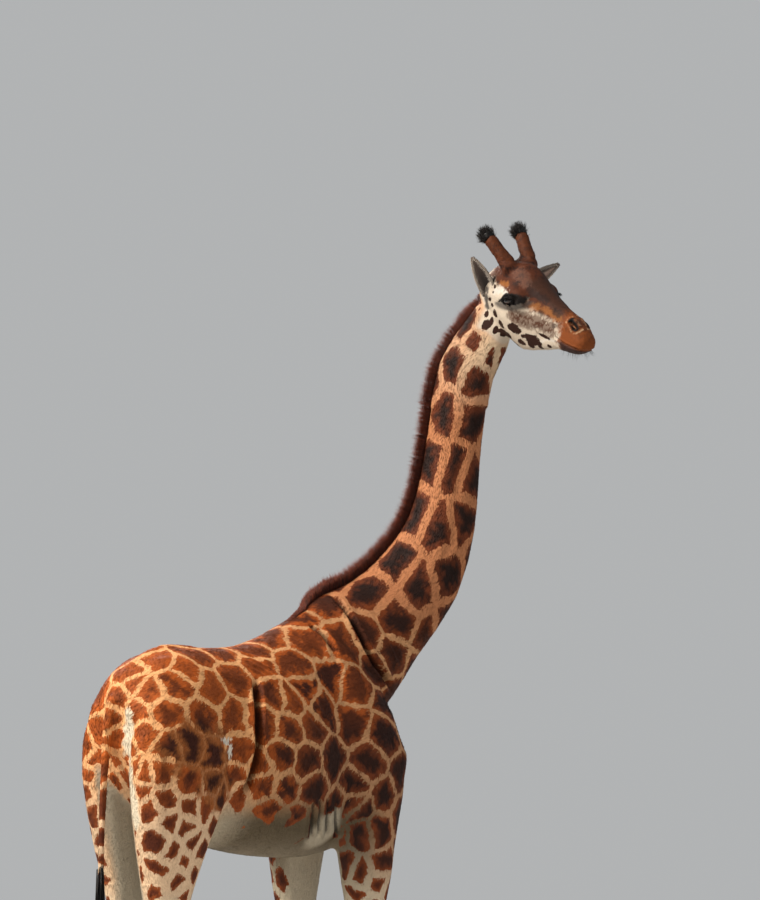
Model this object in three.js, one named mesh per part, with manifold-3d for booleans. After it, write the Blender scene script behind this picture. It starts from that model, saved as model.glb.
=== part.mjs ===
// A life-size still model of a giraffe cow: she stands square on four feet, her neck bends to her
// right and her head is turned to look over that shoulder.
//
// Millimetres, +Z up. The body faces -Y, its left side is +X, and the floor is z = 0. The flesh is
// first joined into one solid from lofts, then parted by thin cuts into trunk, neck, head and legs.

import * as THREE from 'three';
import { mergeVertices } from 'three/addons/utils/BufferGeometryUtils.js';
import Module from 'manifold-3d';

const wasm = await Module();
wasm.setup();

// ---- Driving dimensions ---------------------------------------------------------------------

const GAP = 0.4; // between neighbouring pieces
const CUT = 1; // width of the cuts that part neck, head and trunk
const HIND_STAGGER = 110; // how far the left hind foot stands ahead of the right one
const FORE_STAGGER = -67; // the left fore foot stands this far behind the right one

const HEAD_TURN = 95; // degrees to her right
const HEAD_DROP = 27; // degrees below level
const HEAD_TILT = 10; // degrees, her right side lower
const POLL = [-401, -1358, 4259]; // top of the nape, origin of the head's stations

const EYE_RADIUS = 27;
const EYE = { along: 256, up: 50, out: 120 };
const ORBIT = { along: 262, up: 58, out: 84 };
const ORBIT_RADII = [92, 56, 68]; // along, out and up
const OSSICONE_BASE = { along: 124, up: 184, out: 68 };
const OSSICONE_TIP = { along: -8, up: 276, out: 102 };
// Share of the way from base to tip, and radius.
const OSSICONE = [[-0.25, 44], [0.05, 37], [0.4, 29], [0.7, 25], [0.82, 25]];
const OSSICONE_TUFT = [[0.823, 25], [0.88, 30], [1, 33], [1.12, 28], [1.22, 12]];
const EAR_BASE = { along: 84, up: 0, out: 92 };
const EAR_TIP = {
  right: { along: 25, up: 182, out: 192 }, // laid back
  left: { along: 168, up: 142, out: 214 }, // turned forward
};
const EAR_OPENING = {
  right: { along: 0.35, up: 0, out: 0.9 }, // the way the hollow of the ear faces
  left: { along: 0.9, up: 0.1, out: -0.15 },
};
const EAR_WIDTH = 80;
const EAR_THICKNESS = 7;

const TOE_HEIGHT = 100;
const TOE_LENGTH = 205;
const TOE_WIDTH = 78;
const TOE_GAP = 8;
const TOE_SETBACK = 32; // from the tip of the sole to the front of the pastern above it

// Trunk, from the buttocks to the breast: y, top, bottom, half width, height of the widest level
// as a share of the depth, and how full the back is (2 is an ellipse, less is a ridge).
const TRUNK = [
  [700, 2330, 2060, 120, 0.5, 2.0],
  [660, 2420, 1960, 190, 0.5, 2.0],
  [560, 2490, 1850, 255, 0.55, 2.0],
  [400, 2550, 1750, 285, 0.55, 2.0],
  [200, 2548, 1668, 285, 0.5, 2.0],
  [-30, 2560, 1622, 345, 0.45, 1.9],
  [-250, 2625, 1602, 355, 0.42, 1.75],
  [-480, 2735, 1602, 310, 0.4, 1.6],
  [-680, 2780, 1650, 265, 0.38, 1.6],
  [-830, 2640, 1770, 210, 0.4, 1.8],
  [-915, 2380, 1920, 130, 0.5, 2.0],
];

// Neck, from inside the shoulders to the poll: x, y, z of the centre line, the heading its throat
// faces in degrees to her right, and its reach to the nape, to the throat and to each side.
const NECK = [
  [0, -540, 2330, 0, 310, 320, 215],
  [-8, -770, 2480, 8, 372, 275, 195],
  [-38, -1007, 2666, 20, 290, 206, 165],
  [-123, -1187, 2899, 35, 244, 176, 135],
  [-176, -1255, 3166, 43, 172, 158, 108],
  [-203, -1280, 3428, 48, 142, 140, 96],
  [-230, -1295, 3661, 54, 137, 136, 90],
  [-269, -1311, 3877, 64, 136, 142, 88],
  [-345, -1342, 4035, 80, 120, 146, 86],
  [-430, -1356, 4170, 92, 90, 120, 78],
];

// Head, in its own frame from the poll to the lips: distance along, top, bottom, half width,
// height of the widest level, and how square the section is.
const HEAD = [
  [-35, 40, -70, 55, 0.5, 2.0],
  [0, 100, -115, 82, 0.5, 2.0],
  [60, 160, -135, 98, 0.5, 2.1],
  [130, 190, -155, 108, 0.5, 2.2],
  [205, 200, -172, 114, 0.55, 2.2],
  [280, 184, -180, 110, 0.58, 2.2],
  [350, 155, -168, 92, 0.58, 2.2],
  [430, 128, -142, 74, 0.55, 2.2],
  [520, 110, -110, 62, 0.5, 2.3],
  [600, 95, -80, 64, 0.45, 2.4],
  [660, 72, -60, 61, 0.42, 2.4],
  [704, 44, -36, 44, 0.42, 2.2],
  [720, 22, -10, 22, 0.45, 2.0],
];

// Right legs, from the hooves up: z, x of the centre, y of the front, y of the back, half width.
const FORELEG = [
  [100, -190, -800, -650, 70],
  [150, -190, -780, -655, 58],
  [200, -190, -780, -650, 54],
  [245, -190, -775, -655, 52],
  [300, -190, -764, -672, 42],
  [560, -190, -760, -676, 38],
  [790, -190, -764, -672, 43],
  [850, -190, -776, -662, 54],
  [920, -190, -784, -656, 60],
  [1000, -190, -776, -660, 54],
  [1100, -190, -778, -650, 57],
  [1300, -190, -792, -622, 78],
  [1490, -192, -818, -585, 108],
  [1640, -196, -846, -550, 121],
  [1760, -202, -872, -515, 128],
  [1900, -210, -900, -480, 133],
  [2070, -212, -908, -460, 138],
  [2250, -195, -850, -450, 130],
  [2400, -172, -765, -440, 114],
  [2540, -130, -660, -430, 92],
  [2640, -85, -590, -440, 60],
];
const HINDLEG = [
  [100, -175, 480, 630, 68],
  [150, -175, 492, 612, 56],
  [200, -175, 492, 612, 52],
  [245, -175, 498, 610, 49],
  [300, -175, 510, 600, 41],
  [560, -175, 514, 600, 38],
  [820, -175, 512, 606, 42],
  [900, -175, 502, 628, 52],
  [965, -175, 492, 652, 56],
  [1040, -175, 490, 655, 50],
  [1100, -175, 492, 640, 47],
  [1200, -174, 480, 634, 54],
  [1320, -172, 455, 645, 72],
  [1480, -170, 400, 672, 98],
  [1640, -170, 325, 704, 118],
  [1800, -168, 240, 728, 135],
  [1970, -164, 165, 738, 148],
  [2120, -158, 140, 722, 148],
  [2280, -145, 155, 680, 128],
  [2420, -125, 215, 600, 85],
  [2500, -100, 290, 520, 45],
];

// Outlines, in y and z, that part a leg from the trunk: the shoulder blade and the haunch.
const FORE_OUTLINE = [
  [-960, -20], [-420, -20], [-420, 1600], [-372, 1850], [-360, 2150], [-375, 2440],
  [-430, 2560], [-560, 2585], [-670, 2520], [-790, 2340], [-1000, 2230],
];
const HIND_OUTLINE = [
  [300, -20], [820, -20], [820, 2260], [690, 2400], [520, 2495], [320, 2490], [170, 2400],
  [105, 2230], [110, 2000], [140, 1780], [190, 1540], [300, 1380],
];
const FORE_INNER = 62; // x of the wall between a foreleg and the brisket
const HIND_INNER = 22; // x of the wall between a hind leg and the pelvis

// Tail: x, y, z, half width of the dock, then of the tassel of long hair below it.
const DOCK = [
  [0, 640, 2370, 44], [0, 700, 2310, 36], [0, 740, 2180, 25], [0, 760, 1950, 20],
  [0, 772, 1700, 18], [0, 778, 1480, 17],
];
const TASSEL = [
  [0, 779, 1479.6, 19], [0, 780, 1440, 34], [0, 784, 1340, 48], [0, 788, 1220, 55],
  [0, 790, 1080, 52], [0, 790, 960, 38], [0, 788, 880, 14],
];

const MANE_START = [[-385, 2688], [-460, 2726]]; // y and z of the ridge of the withers
const MANE_HEIGHT = 56; // above the ridge
const MANE_HALF_WIDTH = 24;

// Colour and roughness of each kind of piece.
const FINISH = {
  trunk: ['#a8622e', 0.9], neck: ['#a5673c', 0.9], head: ['#8a5a36', 0.85],
  foreleg: ['#c8a272', 0.9], hindleg: ['#c8a272', 0.9], tail: ['#b4713c', 0.9],
  ear: ['#6b5a4c', 0.9], ossicone: ['#6a3f22', 0.9], ossicone_tuft: ['#17110e', 1],
  mane: ['#4a1c10', 1], tail_tassel: ['#17110e', 1], eye: ['#140c08', 0.1],
  hoof_fore: ['#3a2c22', 0.5], hoof_hind: ['#3a2c22', 0.5],
};

// ---- Shapes ----------------------------------------------------------------------------------

const vec = (x, y, z) => new THREE.Vector3(x, y, z);

// Rows between the given ones, by a Catmull-Rom spline through each column.
function between(rows, perSpan) {
  const filled = [];
  for (let i = 0; i < rows.length - 1; i++) {
    const [a, d] = [rows[Math.max(i - 1, 0)], rows[Math.min(i + 2, rows.length - 1)]];
    const [b, c] = [rows[i], rows[i + 1]];
    for (let k = 0; k < perSpan; k++) {
      const t = k / perSpan;
      filled.push(b.map((_, n) => 0.5 * (2 * b[n] + (c[n] - a[n]) * t
        + (2 * a[n] - 5 * b[n] + 4 * c[n] - d[n]) * t * t
        + (3 * b[n] - a[n] - 3 * c[n] + d[n]) * t * t * t)));
    }
  }
  filled.push(rows[rows.length - 1]);
  return filled;
}

// One cross-section: a superellipse about a centre, with its own reach to the top and bottom.
function ring(centre, side, up, half, top, bottom, fullTop, fullBottom, count) {
  const points = [];
  for (let i = 0; i < count; i++) {
    const angle = (i / count) * 2 * Math.PI;
    const [c, s] = [Math.cos(angle), Math.sin(angle)];
    const power = 2 / (s >= 0 ? fullTop : fullBottom);
    const across = half * Math.sign(c) * Math.abs(c) ** power;
    const rise = (s >= 0 ? top : -bottom) * Math.abs(s) ** power;
    points.push(centre.clone().addScaledVector(side, across).addScaledVector(up, rise));
  }
  return points;
}

// A closed solid through cross-sections, with a fan at each end.
function loft(rings) {
  const count = rings[0].length;
  const points = rings.flat();
  const middle = (list) => list.reduce((sum, p) => sum.add(p), vec(0, 0, 0)).divideScalar(count);
  const start = points.push(middle(rings[0])) - 1;
  const end = points.push(middle(rings[rings.length - 1])) - 1;
  const index = [];
  for (let i = 0; i < count; i++) {
    const j = (i + 1) % count;
    for (let k = 0; k < rings.length - 1; k++) {
      const [a, b, c, d] = [k * count + i, k * count + j, (k + 1) * count + j, (k + 1) * count + i];
      index.push(a, b, c, a, c, d);
    }
    const last = (rings.length - 1) * count;
    index.push(start, j, i, end, last + i, last + j);
  }
  const geometry = new THREE.BufferGeometry().setFromPoints(points);
  geometry.setIndex(index);
  return solid(geometry);
}

// A solid from any closed three.js geometry.
function solid(geometry) {
  geometry.deleteAttribute('normal');
  geometry.deleteAttribute('uv');
  const merged = mergeVertices(geometry, 1e-3);
  return new wasm.Manifold(new wasm.Mesh({
    numProp: 3,
    vertProperties: new Float32Array(merged.attributes.position.array),
    triVerts: new Uint32Array(merged.index.array),
  }));
}

// The left leg: the right one mirrored, with its foot moved forward and its top left in place.
function mirrored(rows, forward) {
  return rows.map(([z, x, front, back, half]) => {
    const shift = forward * (1 - THREE.MathUtils.smoothstep(z, 1300, 2300));
    return [z, -x, front - shift, back - shift, half];
  });
}

// ---- Flesh -----------------------------------------------------------------------------------

function trunk(grow) {
  const rings = between(TRUNK, 2).map(([y, top, bottom, half, wide, full]) => {
    const level = bottom + (top - bottom) * wide;
    return ring(vec(0, y, level), vec(1, 0, 0), vec(0, 0, 1),
      half + grow, top - level + grow, level - bottom + grow, full, 2, 24);
  });
  return loft(rings);
}

// Frames along the neck: centre, side and nape direction of each cross-section.
function neckFrames(perSpan) {
  const rows = between(NECK, perSpan);
  return rows.map((row, i) => {
    const ahead = rows[Math.min(i + 1, rows.length - 1)];
    const behind = rows[Math.max(i - 1, 0)];
    const along = vec(ahead[0] - behind[0], ahead[1] - behind[1], ahead[2] - behind[2]).normalize();
    const turn = THREE.MathUtils.degToRad(row[3]);
    const nape = vec(Math.sin(turn), Math.cos(turn), 0);
    nape.addScaledVector(along, -nape.dot(along)).normalize();
    const side = nape.clone().cross(along);
    return { centre: vec(row[0], row[1], row[2]), along, nape, side, reach: row.slice(4) };
  });
}

function neck(grow) {
  return loft(neckFrames(2).map(({ centre, side, nape, reach }) => ring(
    centre, side, nape, reach[2] + grow, reach[0] + grow, reach[1] + grow, 1.85, 2.1, 20)));
}

// The head's own axes: toward the lips, toward the crown and toward her left cheek.
const angles = [HEAD_DROP, -HEAD_TILT, -HEAD_TURN].map(THREE.MathUtils.degToRad);
const turned = new THREE.Euler(...angles, 'ZXY');
const FORWARD = vec(0, -1, 0).applyEuler(turned);
const CROWN = vec(0, 0, 1).applyEuler(turned);
const CHEEK = vec(1, 0, 0).applyEuler(turned);

// A point of the head: along it, up from it, and out to one side (1 is her left, -1 her right).
function onHead({ along, up, out }, side) {
  return vec(...POLL).addScaledVector(FORWARD, along).addScaledVector(CROWN, up)
    .addScaledVector(CHEEK, side * out);
}

// An ellipsoid lying along the head.
function knob(place, side, radii) {
  const sphere = new THREE.SphereGeometry(1, 12, 8).scale(...radii);
  sphere.applyMatrix4(new THREE.Matrix4().makeBasis(FORWARD, CHEEK, CROWN));
  const at = onHead(place, side);
  return solid(sphere.translate(at.x, at.y, at.z));
}

function head(grow) {
  const skull = loft(between(HEAD, 2).map(([along, top, bottom, half, wide, full]) => {
    const level = bottom + (top - bottom) * wide;
    return ring(onHead({ along, up: level, out: 0 }, 0), CHEEK, CROWN,
      half + grow, top - level + grow, level - bottom + grow, full, full, 18);
  }));
  const orbits = [-1, 1].map((side) => knob(ORBIT, side, ORBIT_RADII.map((r) => r + grow)));
  return orbits.reduce((whole, part) => whole.add(part), skull);
}

// A leg from the top of the hooves into the body, as horizontal sections.
function leg(rows) {
  return loft(rows.map(([z, x, front, back, half]) => {
    const deep = (back - front) / 2;
    return ring(vec(x, front + deep, z), vec(1, 0, 0), vec(0, 1, 0), half, deep, deep, 2.1, 2.1, 14);
  }));
}

// ---- Horns, ears, eyes, mane, tail and hooves ----------------------------------------------------

// A round bar along the line of an ossicone, through stations that each have a radius.
function horn(side, stations) {
  const [base, tip] = [onHead(OSSICONE_BASE, side), onHead(OSSICONE_TIP, side)];
  const along = tip.clone().sub(base).normalize();
  const up = FORWARD.clone().addScaledVector(along, -FORWARD.dot(along)).normalize();
  const across = up.clone().cross(along);
  return loft(stations.map(([share, radius]) => ring(
    base.clone().lerp(tip, share), across, up, radius, radius, radius, 2, 2, 14)));
}

// A leaf-shaped ear: crescent sections that open toward the front and the side.
function ear(name, side) {
  const [base, tip] = [onHead(EAR_BASE, side), onHead(EAR_TIP[name], side)];
  const along = tip.clone().sub(base).normalize();
  const open = onHead(EAR_OPENING[name], side).sub(onHead({ along: 0, up: 0, out: 0 }, side));
  open.addScaledVector(along, -open.dot(along)).normalize();
  const across = open.clone().cross(along);
  const sections = [];
  for (let k = 0; k <= 8; k++) {
    const share = k / 8;
    const width = EAR_WIDTH / 2 * Math.sin(Math.PI * (0.2 + 0.78 * share)) ** 0.8;
    const depth = width * (0.75 - 0.35 * share);
    const centre = base.clone().lerp(tip, share);
    const section = [];
    for (let i = 0; i < 14; i++) {
      const inside = i >= 7;
      const t = inside ? 1 - (i - 6.5) / 7 : (i + 0.5) / 7;
      const bend = Math.PI * (1.06 * t - 0.03);
      const shell = inside ? Math.min(EAR_THICKNESS, width * 0.6) : 0;
      section.push(centre.clone().addScaledVector(across, -(width - shell) * Math.cos(bend))
        .addScaledVector(open, -(depth - shell) * Math.sin(bend)));
    }
    sections.push(section);
  }
  return loft(sections);
}

function eye(side, grow) {
  return knob(EYE, side, Array(3).fill(EYE_RADIUS + grow));
}

// The standing mane: a strip along the ridge of the withers and up the nape to the ears.
function mane() {
  const withers = MANE_START.map(([y, z]) => (
    { top: vec(0, y, z), nape: vec(0, 0.3, 0.95), side: vec(1, 0, 0) }));
  const neckPart = neckFrames(2).slice(2).map(({ centre, nape, side, reach }) => (
    { top: centre.clone().addScaledVector(nape, reach[0]), nape, side }));
  const line = [...withers, ...neckPart];
  return loft(line.map(({ top, nape, side }, i) => {
    const height = MANE_HEIGHT * Math.min(1, 0.1 + i * 0.3, 0.4 + (line.length - 1 - i) * 0.3);
    const root = top.clone().addScaledVector(nape, -30);
    return ring(root, side, nape, MANE_HALF_WIDTH, 30 + height, 8, 1.7, 2, 10);
  }));
}

// A round rope of changing thickness: the dock and the tassel of the tail, from the top down.
function rope(rows, perSpan, count) {
  return loft(between(rows, perSpan).map(([x, y, z, half]) => ring(
    vec(x, y, z), vec(1, 0, 0), vec(0, -1, 0), half, half, half, 2, 2, count)));
}

// One half of a cloven hoof: flat on the floor and toward its fellow, round outside, low behind.
function toe(x, front, outward) {
  const rings = [[0, 1, 0], [0.3, 0.985, 8], [0.7, 0.9, 28], [1, 0.8, 46]].map(([share, size, setback]) => {
    const section = [];
    const length = (TOE_LENGTH - setback) / 2;
    const middle = front + setback * 0.75 + length;
    for (let i = 0; i <= 9; i++) {
      const angle = Math.PI * (i / 9 - 0.5);
      const width = TOE_WIDTH * size * Math.cos(angle) ** 0.75;
      section.push(vec(x + outward * (TOE_GAP / 2 + width), middle + length * Math.sin(angle),
        (TOE_HEIGHT - GAP) * share));
    }
    return section;
  });
  return loft(outward > 0 ? rings : rings.map((section) => section.reverse()));
}

// ---- Parting the flesh ---------------------------------------------------------------------------

// A plate across a cross-section of the neck.
function plate(centre, along, nape, size) {
  const box = new THREE.BoxGeometry(size, size, CUT);
  box.applyMatrix4(new THREE.Matrix4().makeBasis(nape.clone().cross(along), nape, along));
  return solid(box.translate(centre.x, centre.y, centre.z));
}

// A prism with an outline in y and z, from an inner wall out past the skin.
function prism(outline, inner, side, grow) {
  const shape = new THREE.Shape(outline.map(([y, z]) => new THREE.Vector2(y, z)));
  const block = new THREE.ExtrudeGeometry(shape, { depth: 600 - inner, bevelEnabled: false });
  block.applyMatrix4(new THREE.Matrix4().makeBasis(vec(0, 1, 0), vec(0, 0, 1), vec(1, 0, 0)));
  block.translate(side > 0 ? inner : -600, 0, 0);
  block.computeBoundingBox();
  const middle = block.boundingBox.getCenter(vec(0, 0, 0));
  const size = block.boundingBox.getSize(vec(0, 0, 0));
  block.translate(-middle.x, -middle.y, -middle.z);
  block.scale(1 + 2 * grow / size.x, 1 + 2 * grow / size.y, 1 + 2 * grow / size.z);
  return solid(block.translate(middle.x, middle.y, middle.z));
}

const fore = { outline: FORE_OUTLINE, inner: FORE_INNER };
const hind = { outline: HIND_OUTLINE, inner: HIND_INNER };
const legs = [
  { name: 'foreleg_right', side: -1, rows: FORELEG, ...fore },
  { name: 'foreleg_left', side: 1, rows: mirrored(FORELEG, FORE_STAGGER), ...fore },
  { name: 'hindleg_right', side: -1, rows: HINDLEG, ...hind },
  { name: 'hindleg_left', side: 1, rows: mirrored(HINDLEG, HIND_STAGGER), ...hind },
];

let flesh = trunk(0).add(neck(0)).add(head(0));
for (const { rows } of legs) flesh = flesh.add(leg(rows));

const pieces = {};
let rest = flesh;
for (const { name, side, outline, inner } of legs) {
  pieces[name] = flesh.intersect(prism(outline, inner, side, 0));
  rest = rest.subtract(prism(outline, inner, side, GAP));
}

const frames = neckFrames(2);
const [shoulderCut, throatCut] = [frames[4], frames[frames.length - 3]];
rest = rest.subtract(plate(shoulderCut.centre, shoulderCut.along, shoulderCut.nape, 900));
rest = rest.subtract(plate(throatCut.centre, throatCut.along, throatCut.nape, 420));
const lowestFirst = rest.decompose().sort((a, b) => a.boundingBox().min[2] - b.boundingBox().min[2]);
[pieces.trunk, pieces.neck, pieces.head] = lowestFirst;

for (const [name, side] of [['left', 1], ['right', -1]]) {
  pieces.head = pieces.head.subtract(eye(side, GAP));
  pieces[`eye_${name}`] = eye(side, 0);
  pieces[`ossicone_${name}`] = horn(side, OSSICONE).subtract(head(GAP));
  pieces[`ossicone_tuft_${name}`] = horn(side, OSSICONE_TUFT);
  pieces[`ear_${name}`] = ear(name, side).subtract(head(GAP));
}
pieces.mane = mane().subtract(neck(GAP)).subtract(head(GAP)).subtract(trunk(GAP));
pieces.tail = rope(DOCK, 1, 10).subtract(trunk(GAP));
pieces.tail_tassel = rope(TASSEL, 1, 12);
for (const { name, side, rows } of legs) {
  const [, x, front] = rows[0];
  const foot = name.replace('leg', '').replace('fore', 'hoof_fore').replace('hind', 'hoof_hind');
  pieces[`${foot}_outer`] = toe(x, front - TOE_SETBACK, side);
  pieces[`${foot}_inner`] = toe(x, front - TOE_SETBACK, -side);
}

// ---- Scene ---------------------------------------------------------------------------------------

const model = new THREE.Group();
for (const [name, part] of Object.entries(pieces)) {
  const { vertProperties, triVerts } = part.getMesh();
  const geometry = new THREE.BufferGeometry();
  geometry.setAttribute('position', new THREE.BufferAttribute(vertProperties, 3));
  geometry.setIndex(new THREE.BufferAttribute(triVerts, 1));
  geometry.computeVertexNormals();
  const [color, roughness] = FINISH[name.replace(/_(left|right).*/, '')];
  const mesh = new THREE.Mesh(geometry, new THREE.MeshStandardMaterial({ color, roughness, metalness: 0 }));
  mesh.name = name;
  model.add(mesh);
}

// The origin lies on the floor, under the middle of the whole animal.
const middle = new THREE.Box3().setFromObject(model).getCenter(vec(0, 0, 0));
model.position.set(-Math.round(middle.x), -Math.round(middle.y), 0);

export default model;
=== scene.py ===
import math

import bmesh
import bpy
import numpy as np
from mathutils import Matrix, Vector
from mathutils.bvhtree import BVHTree


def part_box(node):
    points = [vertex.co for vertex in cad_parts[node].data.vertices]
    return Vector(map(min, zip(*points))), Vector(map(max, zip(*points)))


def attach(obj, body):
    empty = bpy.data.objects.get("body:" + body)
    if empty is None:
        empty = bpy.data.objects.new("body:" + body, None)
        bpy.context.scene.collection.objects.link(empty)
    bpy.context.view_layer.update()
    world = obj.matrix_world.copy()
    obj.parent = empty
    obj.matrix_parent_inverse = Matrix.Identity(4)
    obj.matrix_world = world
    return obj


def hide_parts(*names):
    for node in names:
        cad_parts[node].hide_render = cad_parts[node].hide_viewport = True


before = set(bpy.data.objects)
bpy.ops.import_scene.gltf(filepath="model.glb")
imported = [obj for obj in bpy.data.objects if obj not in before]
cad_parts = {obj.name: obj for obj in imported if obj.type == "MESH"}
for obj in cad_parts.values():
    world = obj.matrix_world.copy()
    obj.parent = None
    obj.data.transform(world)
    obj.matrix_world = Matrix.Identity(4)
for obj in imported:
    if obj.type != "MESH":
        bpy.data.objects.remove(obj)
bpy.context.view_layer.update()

# ---- Studio --------------------------------------------------------------------------------------
# Places on the animal are in millimetres from a point on the floor, midway between her left and
# right legs and 700 ahead of her buttocks: x to her left, y to her tail, z up. The visitor stands
# 20 m off behind her right flank, at eye height, with a long lens. Soft boxes light her.

scene = bpy.context.scene
trunk_low, trunk_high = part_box("trunk")
ORIGIN = np.array([(trunk_low[0] + trunk_high[0]) / 2, trunk_high[1] - 0.700, 0.0])

VIEW_TURN = math.radians(47)
AWAY = np.array([math.cos(VIEW_TURN), -math.sin(VIEW_TURN), 0.0])
ACROSS = np.array([-math.sin(VIEW_TURN), -math.cos(VIEW_TURN), 0.0])
STAND_OFF, EYE_HEIGHT, AIM_HEIGHT, AIM_ACROSS = 20.0, 1.90, 3.44, 0.687
FRAME_HEIGHT = 4.05  # metres of the scene from top to bottom of the view, at the stand-off
LAMP_AIM = 2.4  # height of the shoulder, at which every lamp looks


def aim(thing, spot, target):
    """Puts a camera or lamp at a spot, turned to a target."""
    thing.location = Vector(spot)
    thing.rotation_euler = (Vector(target) - Vector(spot)).to_track_quat("-Z", "Y").to_euler()
    scene.collection.objects.link(thing)


camera = bpy.data.objects.new("camera", bpy.data.cameras.new("camera"))
camera.data.sensor_fit = "VERTICAL"
camera.data.angle = 2 * math.atan(FRAME_HEIGHT / 2 / STAND_OFF)
middle = ORIGIN + ACROSS * AIM_ACROSS
aim(camera, middle - AWAY * STAND_OFF + [0, 0, EYE_HEIGHT], middle + [0, 0, AIM_HEIGHT])
scene.camera = camera


def soft_box(name, across, toward, height, size, watts, colour):
    """A square lamp, placed from the visitor's side, that looks at the shoulder."""
    lamp = bpy.data.objects.new(name, bpy.data.lights.new(name, "AREA"))
    lamp.data.size = size
    lamp.data.energy = watts
    lamp.data.color = colour
    aim(lamp, ORIGIN + ACROSS * across - AWAY * toward + [0, 0, height], ORIGIN + [0, 0, LAMP_AIM])


soft_box("key_box", -7.5, 4.0, 11.0, 4.0, 2250, (1.0, 0.93, 0.84))
soft_box("fill_box", 6.0, 9.0, 4.0, 7.0, 100, (1.0, 0.97, 0.94))
soft_box("back_box", -3.0, -9.0, 8.0, 5.0, 700, (1.0, 0.95, 0.9))


def linear(code):
    """An sRGB hex colour as the linear values that Blender mixes, and full cover."""
    parts = [int(code[i:i + 2], 16) / 255 for i in (1, 3, 5)]
    return [c / 12.92 if c <= 0.04045 else ((c + 0.055) / 1.055) ** 2.4 for c in parts] + [1.0]


def add(tree, kind, links=None, **settings):
    """Adds a node, with its settings and each named input set, or linked to a node's first output."""
    node = tree.nodes.new("ShaderNode" + kind)
    for name, value in settings.items():
        setattr(node, name, value)
    for name, value in (links or {}).items():
        if isinstance(value, bpy.types.Node):
            value = value.outputs[0]
        if isinstance(value, bpy.types.NodeSocket):
            tree.links.new(value, node.inputs[name])
        else:
            node.inputs[name].default_value = value
    return node


def material(name):
    """A new material and its empty tree."""
    made = bpy.data.materials.new(name)
    made.use_nodes = True
    made.node_tree.nodes.clear()
    return made, made.node_tree


world = bpy.data.worlds.new("studio")
world.use_nodes = True
backdrop = world.node_tree.nodes["Background"].inputs
backdrop["Color"].default_value = linear("#dfe1e2")
backdrop["Strength"].default_value = 0.60
scene.world = world
scene.view_settings.view_transform = "Standard"

# Painted plaster floor, rolled: pale and dull with a faint cloudiness, so that it shows her shadow
# and no shine.
FLOOR_SIZE = 60
ROLLER_CLOUD = 1250  # mm from cloud to cloud
plaster, tree = material("painted_plaster")
cloud = add(tree, "TexNoise", {"Scale": 1000 / ROLLER_CLOUD, "Detail": 4.0})
shade = add(tree, "MixRGB", {"Fac": cloud, "Color1": linear("#c6c4c0"), "Color2": linear("#bdbbb7")})
paint = add(tree, "BsdfPrincipled", {"Base Color": shade, "Roughness": 0.8})
add(tree, "OutputMaterial", {"Surface": paint})
mesh = bpy.data.meshes.new("floor")
half = FLOOR_SIZE / 2
mesh.from_pydata([(-half, -half, 0), (half, -half, 0), (half, half, 0), (-half, half, 0)], [], [(0, 1, 2, 3)])
mesh.materials.append(plaster)
floor = bpy.data.objects.new("floor", mesh)
scene.collection.objects.link(floor)

# ---- Skin ----------------------------------------------------------------------------------------
# One closed hide over head, neck, trunk, legs and dock, horns included. The solids of the flesh are
# run together, smoothed, drawn in by the depth of the coat, and then given their folds.

FLESH = ["trunk", "neck", "head", "foreleg_right", "foreleg_left", "hindleg_right", "hindleg_left",
         "tail", "ossicone_right", "ossicone_left"]
OVERLAP = 0.002  # metres that each solid grows, so that the cuts between them close
VOXEL = 0.014  # metres
COAT_DEPTH = 3.5  # mm


def smooth(low, high, value):
    """0 below low, 1 above high, and an even step between."""
    t = np.clip((value - low) / (high - low), 0, 1)
    return t * t * (3 - 2 * t)


def unit(vectors):
    """Vectors made one long."""
    return vectors / np.maximum(np.linalg.norm(vectors, axis=-1, keepdims=True), 1e-12)


# The head's own axes, turned from the body's: toward the lips, toward the crown and to her left.
HEAD_TURN, HEAD_DROP, HEAD_TILT = 95, 27, 10
turned = (Matrix.Rotation(math.radians(-HEAD_TURN), 3, "Z")
          @ Matrix.Rotation(math.radians(HEAD_DROP), 3, "X")
          @ Matrix.Rotation(math.radians(-HEAD_TILT), 3, "Y"))
HEAD_AXES = np.array([turned @ Vector(v) for v in ((0, -1, 0), (0, 0, 1), (1, 0, 0))])
EYE = np.array([256.0, 50.0, 120.0])  # along, up and out from the poll
EYE_RADIUS = 27
eye_boxes = [np.array(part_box(name)) for name in ("eye_left", "eye_right")]
eyes_middle = (sum(box.mean(0) for box in eye_boxes) / 2 - ORIGIN) * 1000
POLL = eyes_middle - EYE[0] * HEAD_AXES[0] - EYE[1] * HEAD_AXES[1]


def in_head(points):
    """Millimetre places as along, up and out to her left from the poll."""
    return (points - POLL) @ HEAD_AXES.T


def on_head(along, up, out):
    """The millimetre place of a spot on the head."""
    return POLL + np.array([along, up, out]) @ HEAD_AXES


def flesh_mesh():
    """The flesh solids, each grown a little, in one mesh and made one by a voxel remesh."""
    joined = bmesh.new()
    for name in FLESH:
        part = bmesh.new()
        part.from_mesh(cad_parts[name].data)
        bmesh.ops.remove_doubles(part, verts=part.verts, dist=1e-5)
        part.normal_update()
        for vert in part.verts:
            vert.co += vert.normal * OVERLAP
        piece = bpy.data.meshes.new(name)
        part.to_mesh(piece)
        joined.from_mesh(piece)
        part.free()
    mesh = bpy.data.meshes.new("flesh")
    joined.to_mesh(mesh)
    joined.free()
    lump = bpy.data.objects.new("flesh", mesh)
    scene.collection.objects.link(lump)
    remesh = lump.modifiers.new("remesh", "REMESH")
    remesh.mode = "VOXEL"
    remesh.voxel_size = VOXEL
    whole = bpy.data.meshes.new_from_object(lump.evaluated_get(bpy.context.evaluated_depsgraph_get()))
    bpy.data.objects.remove(lump)
    return whole


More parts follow.
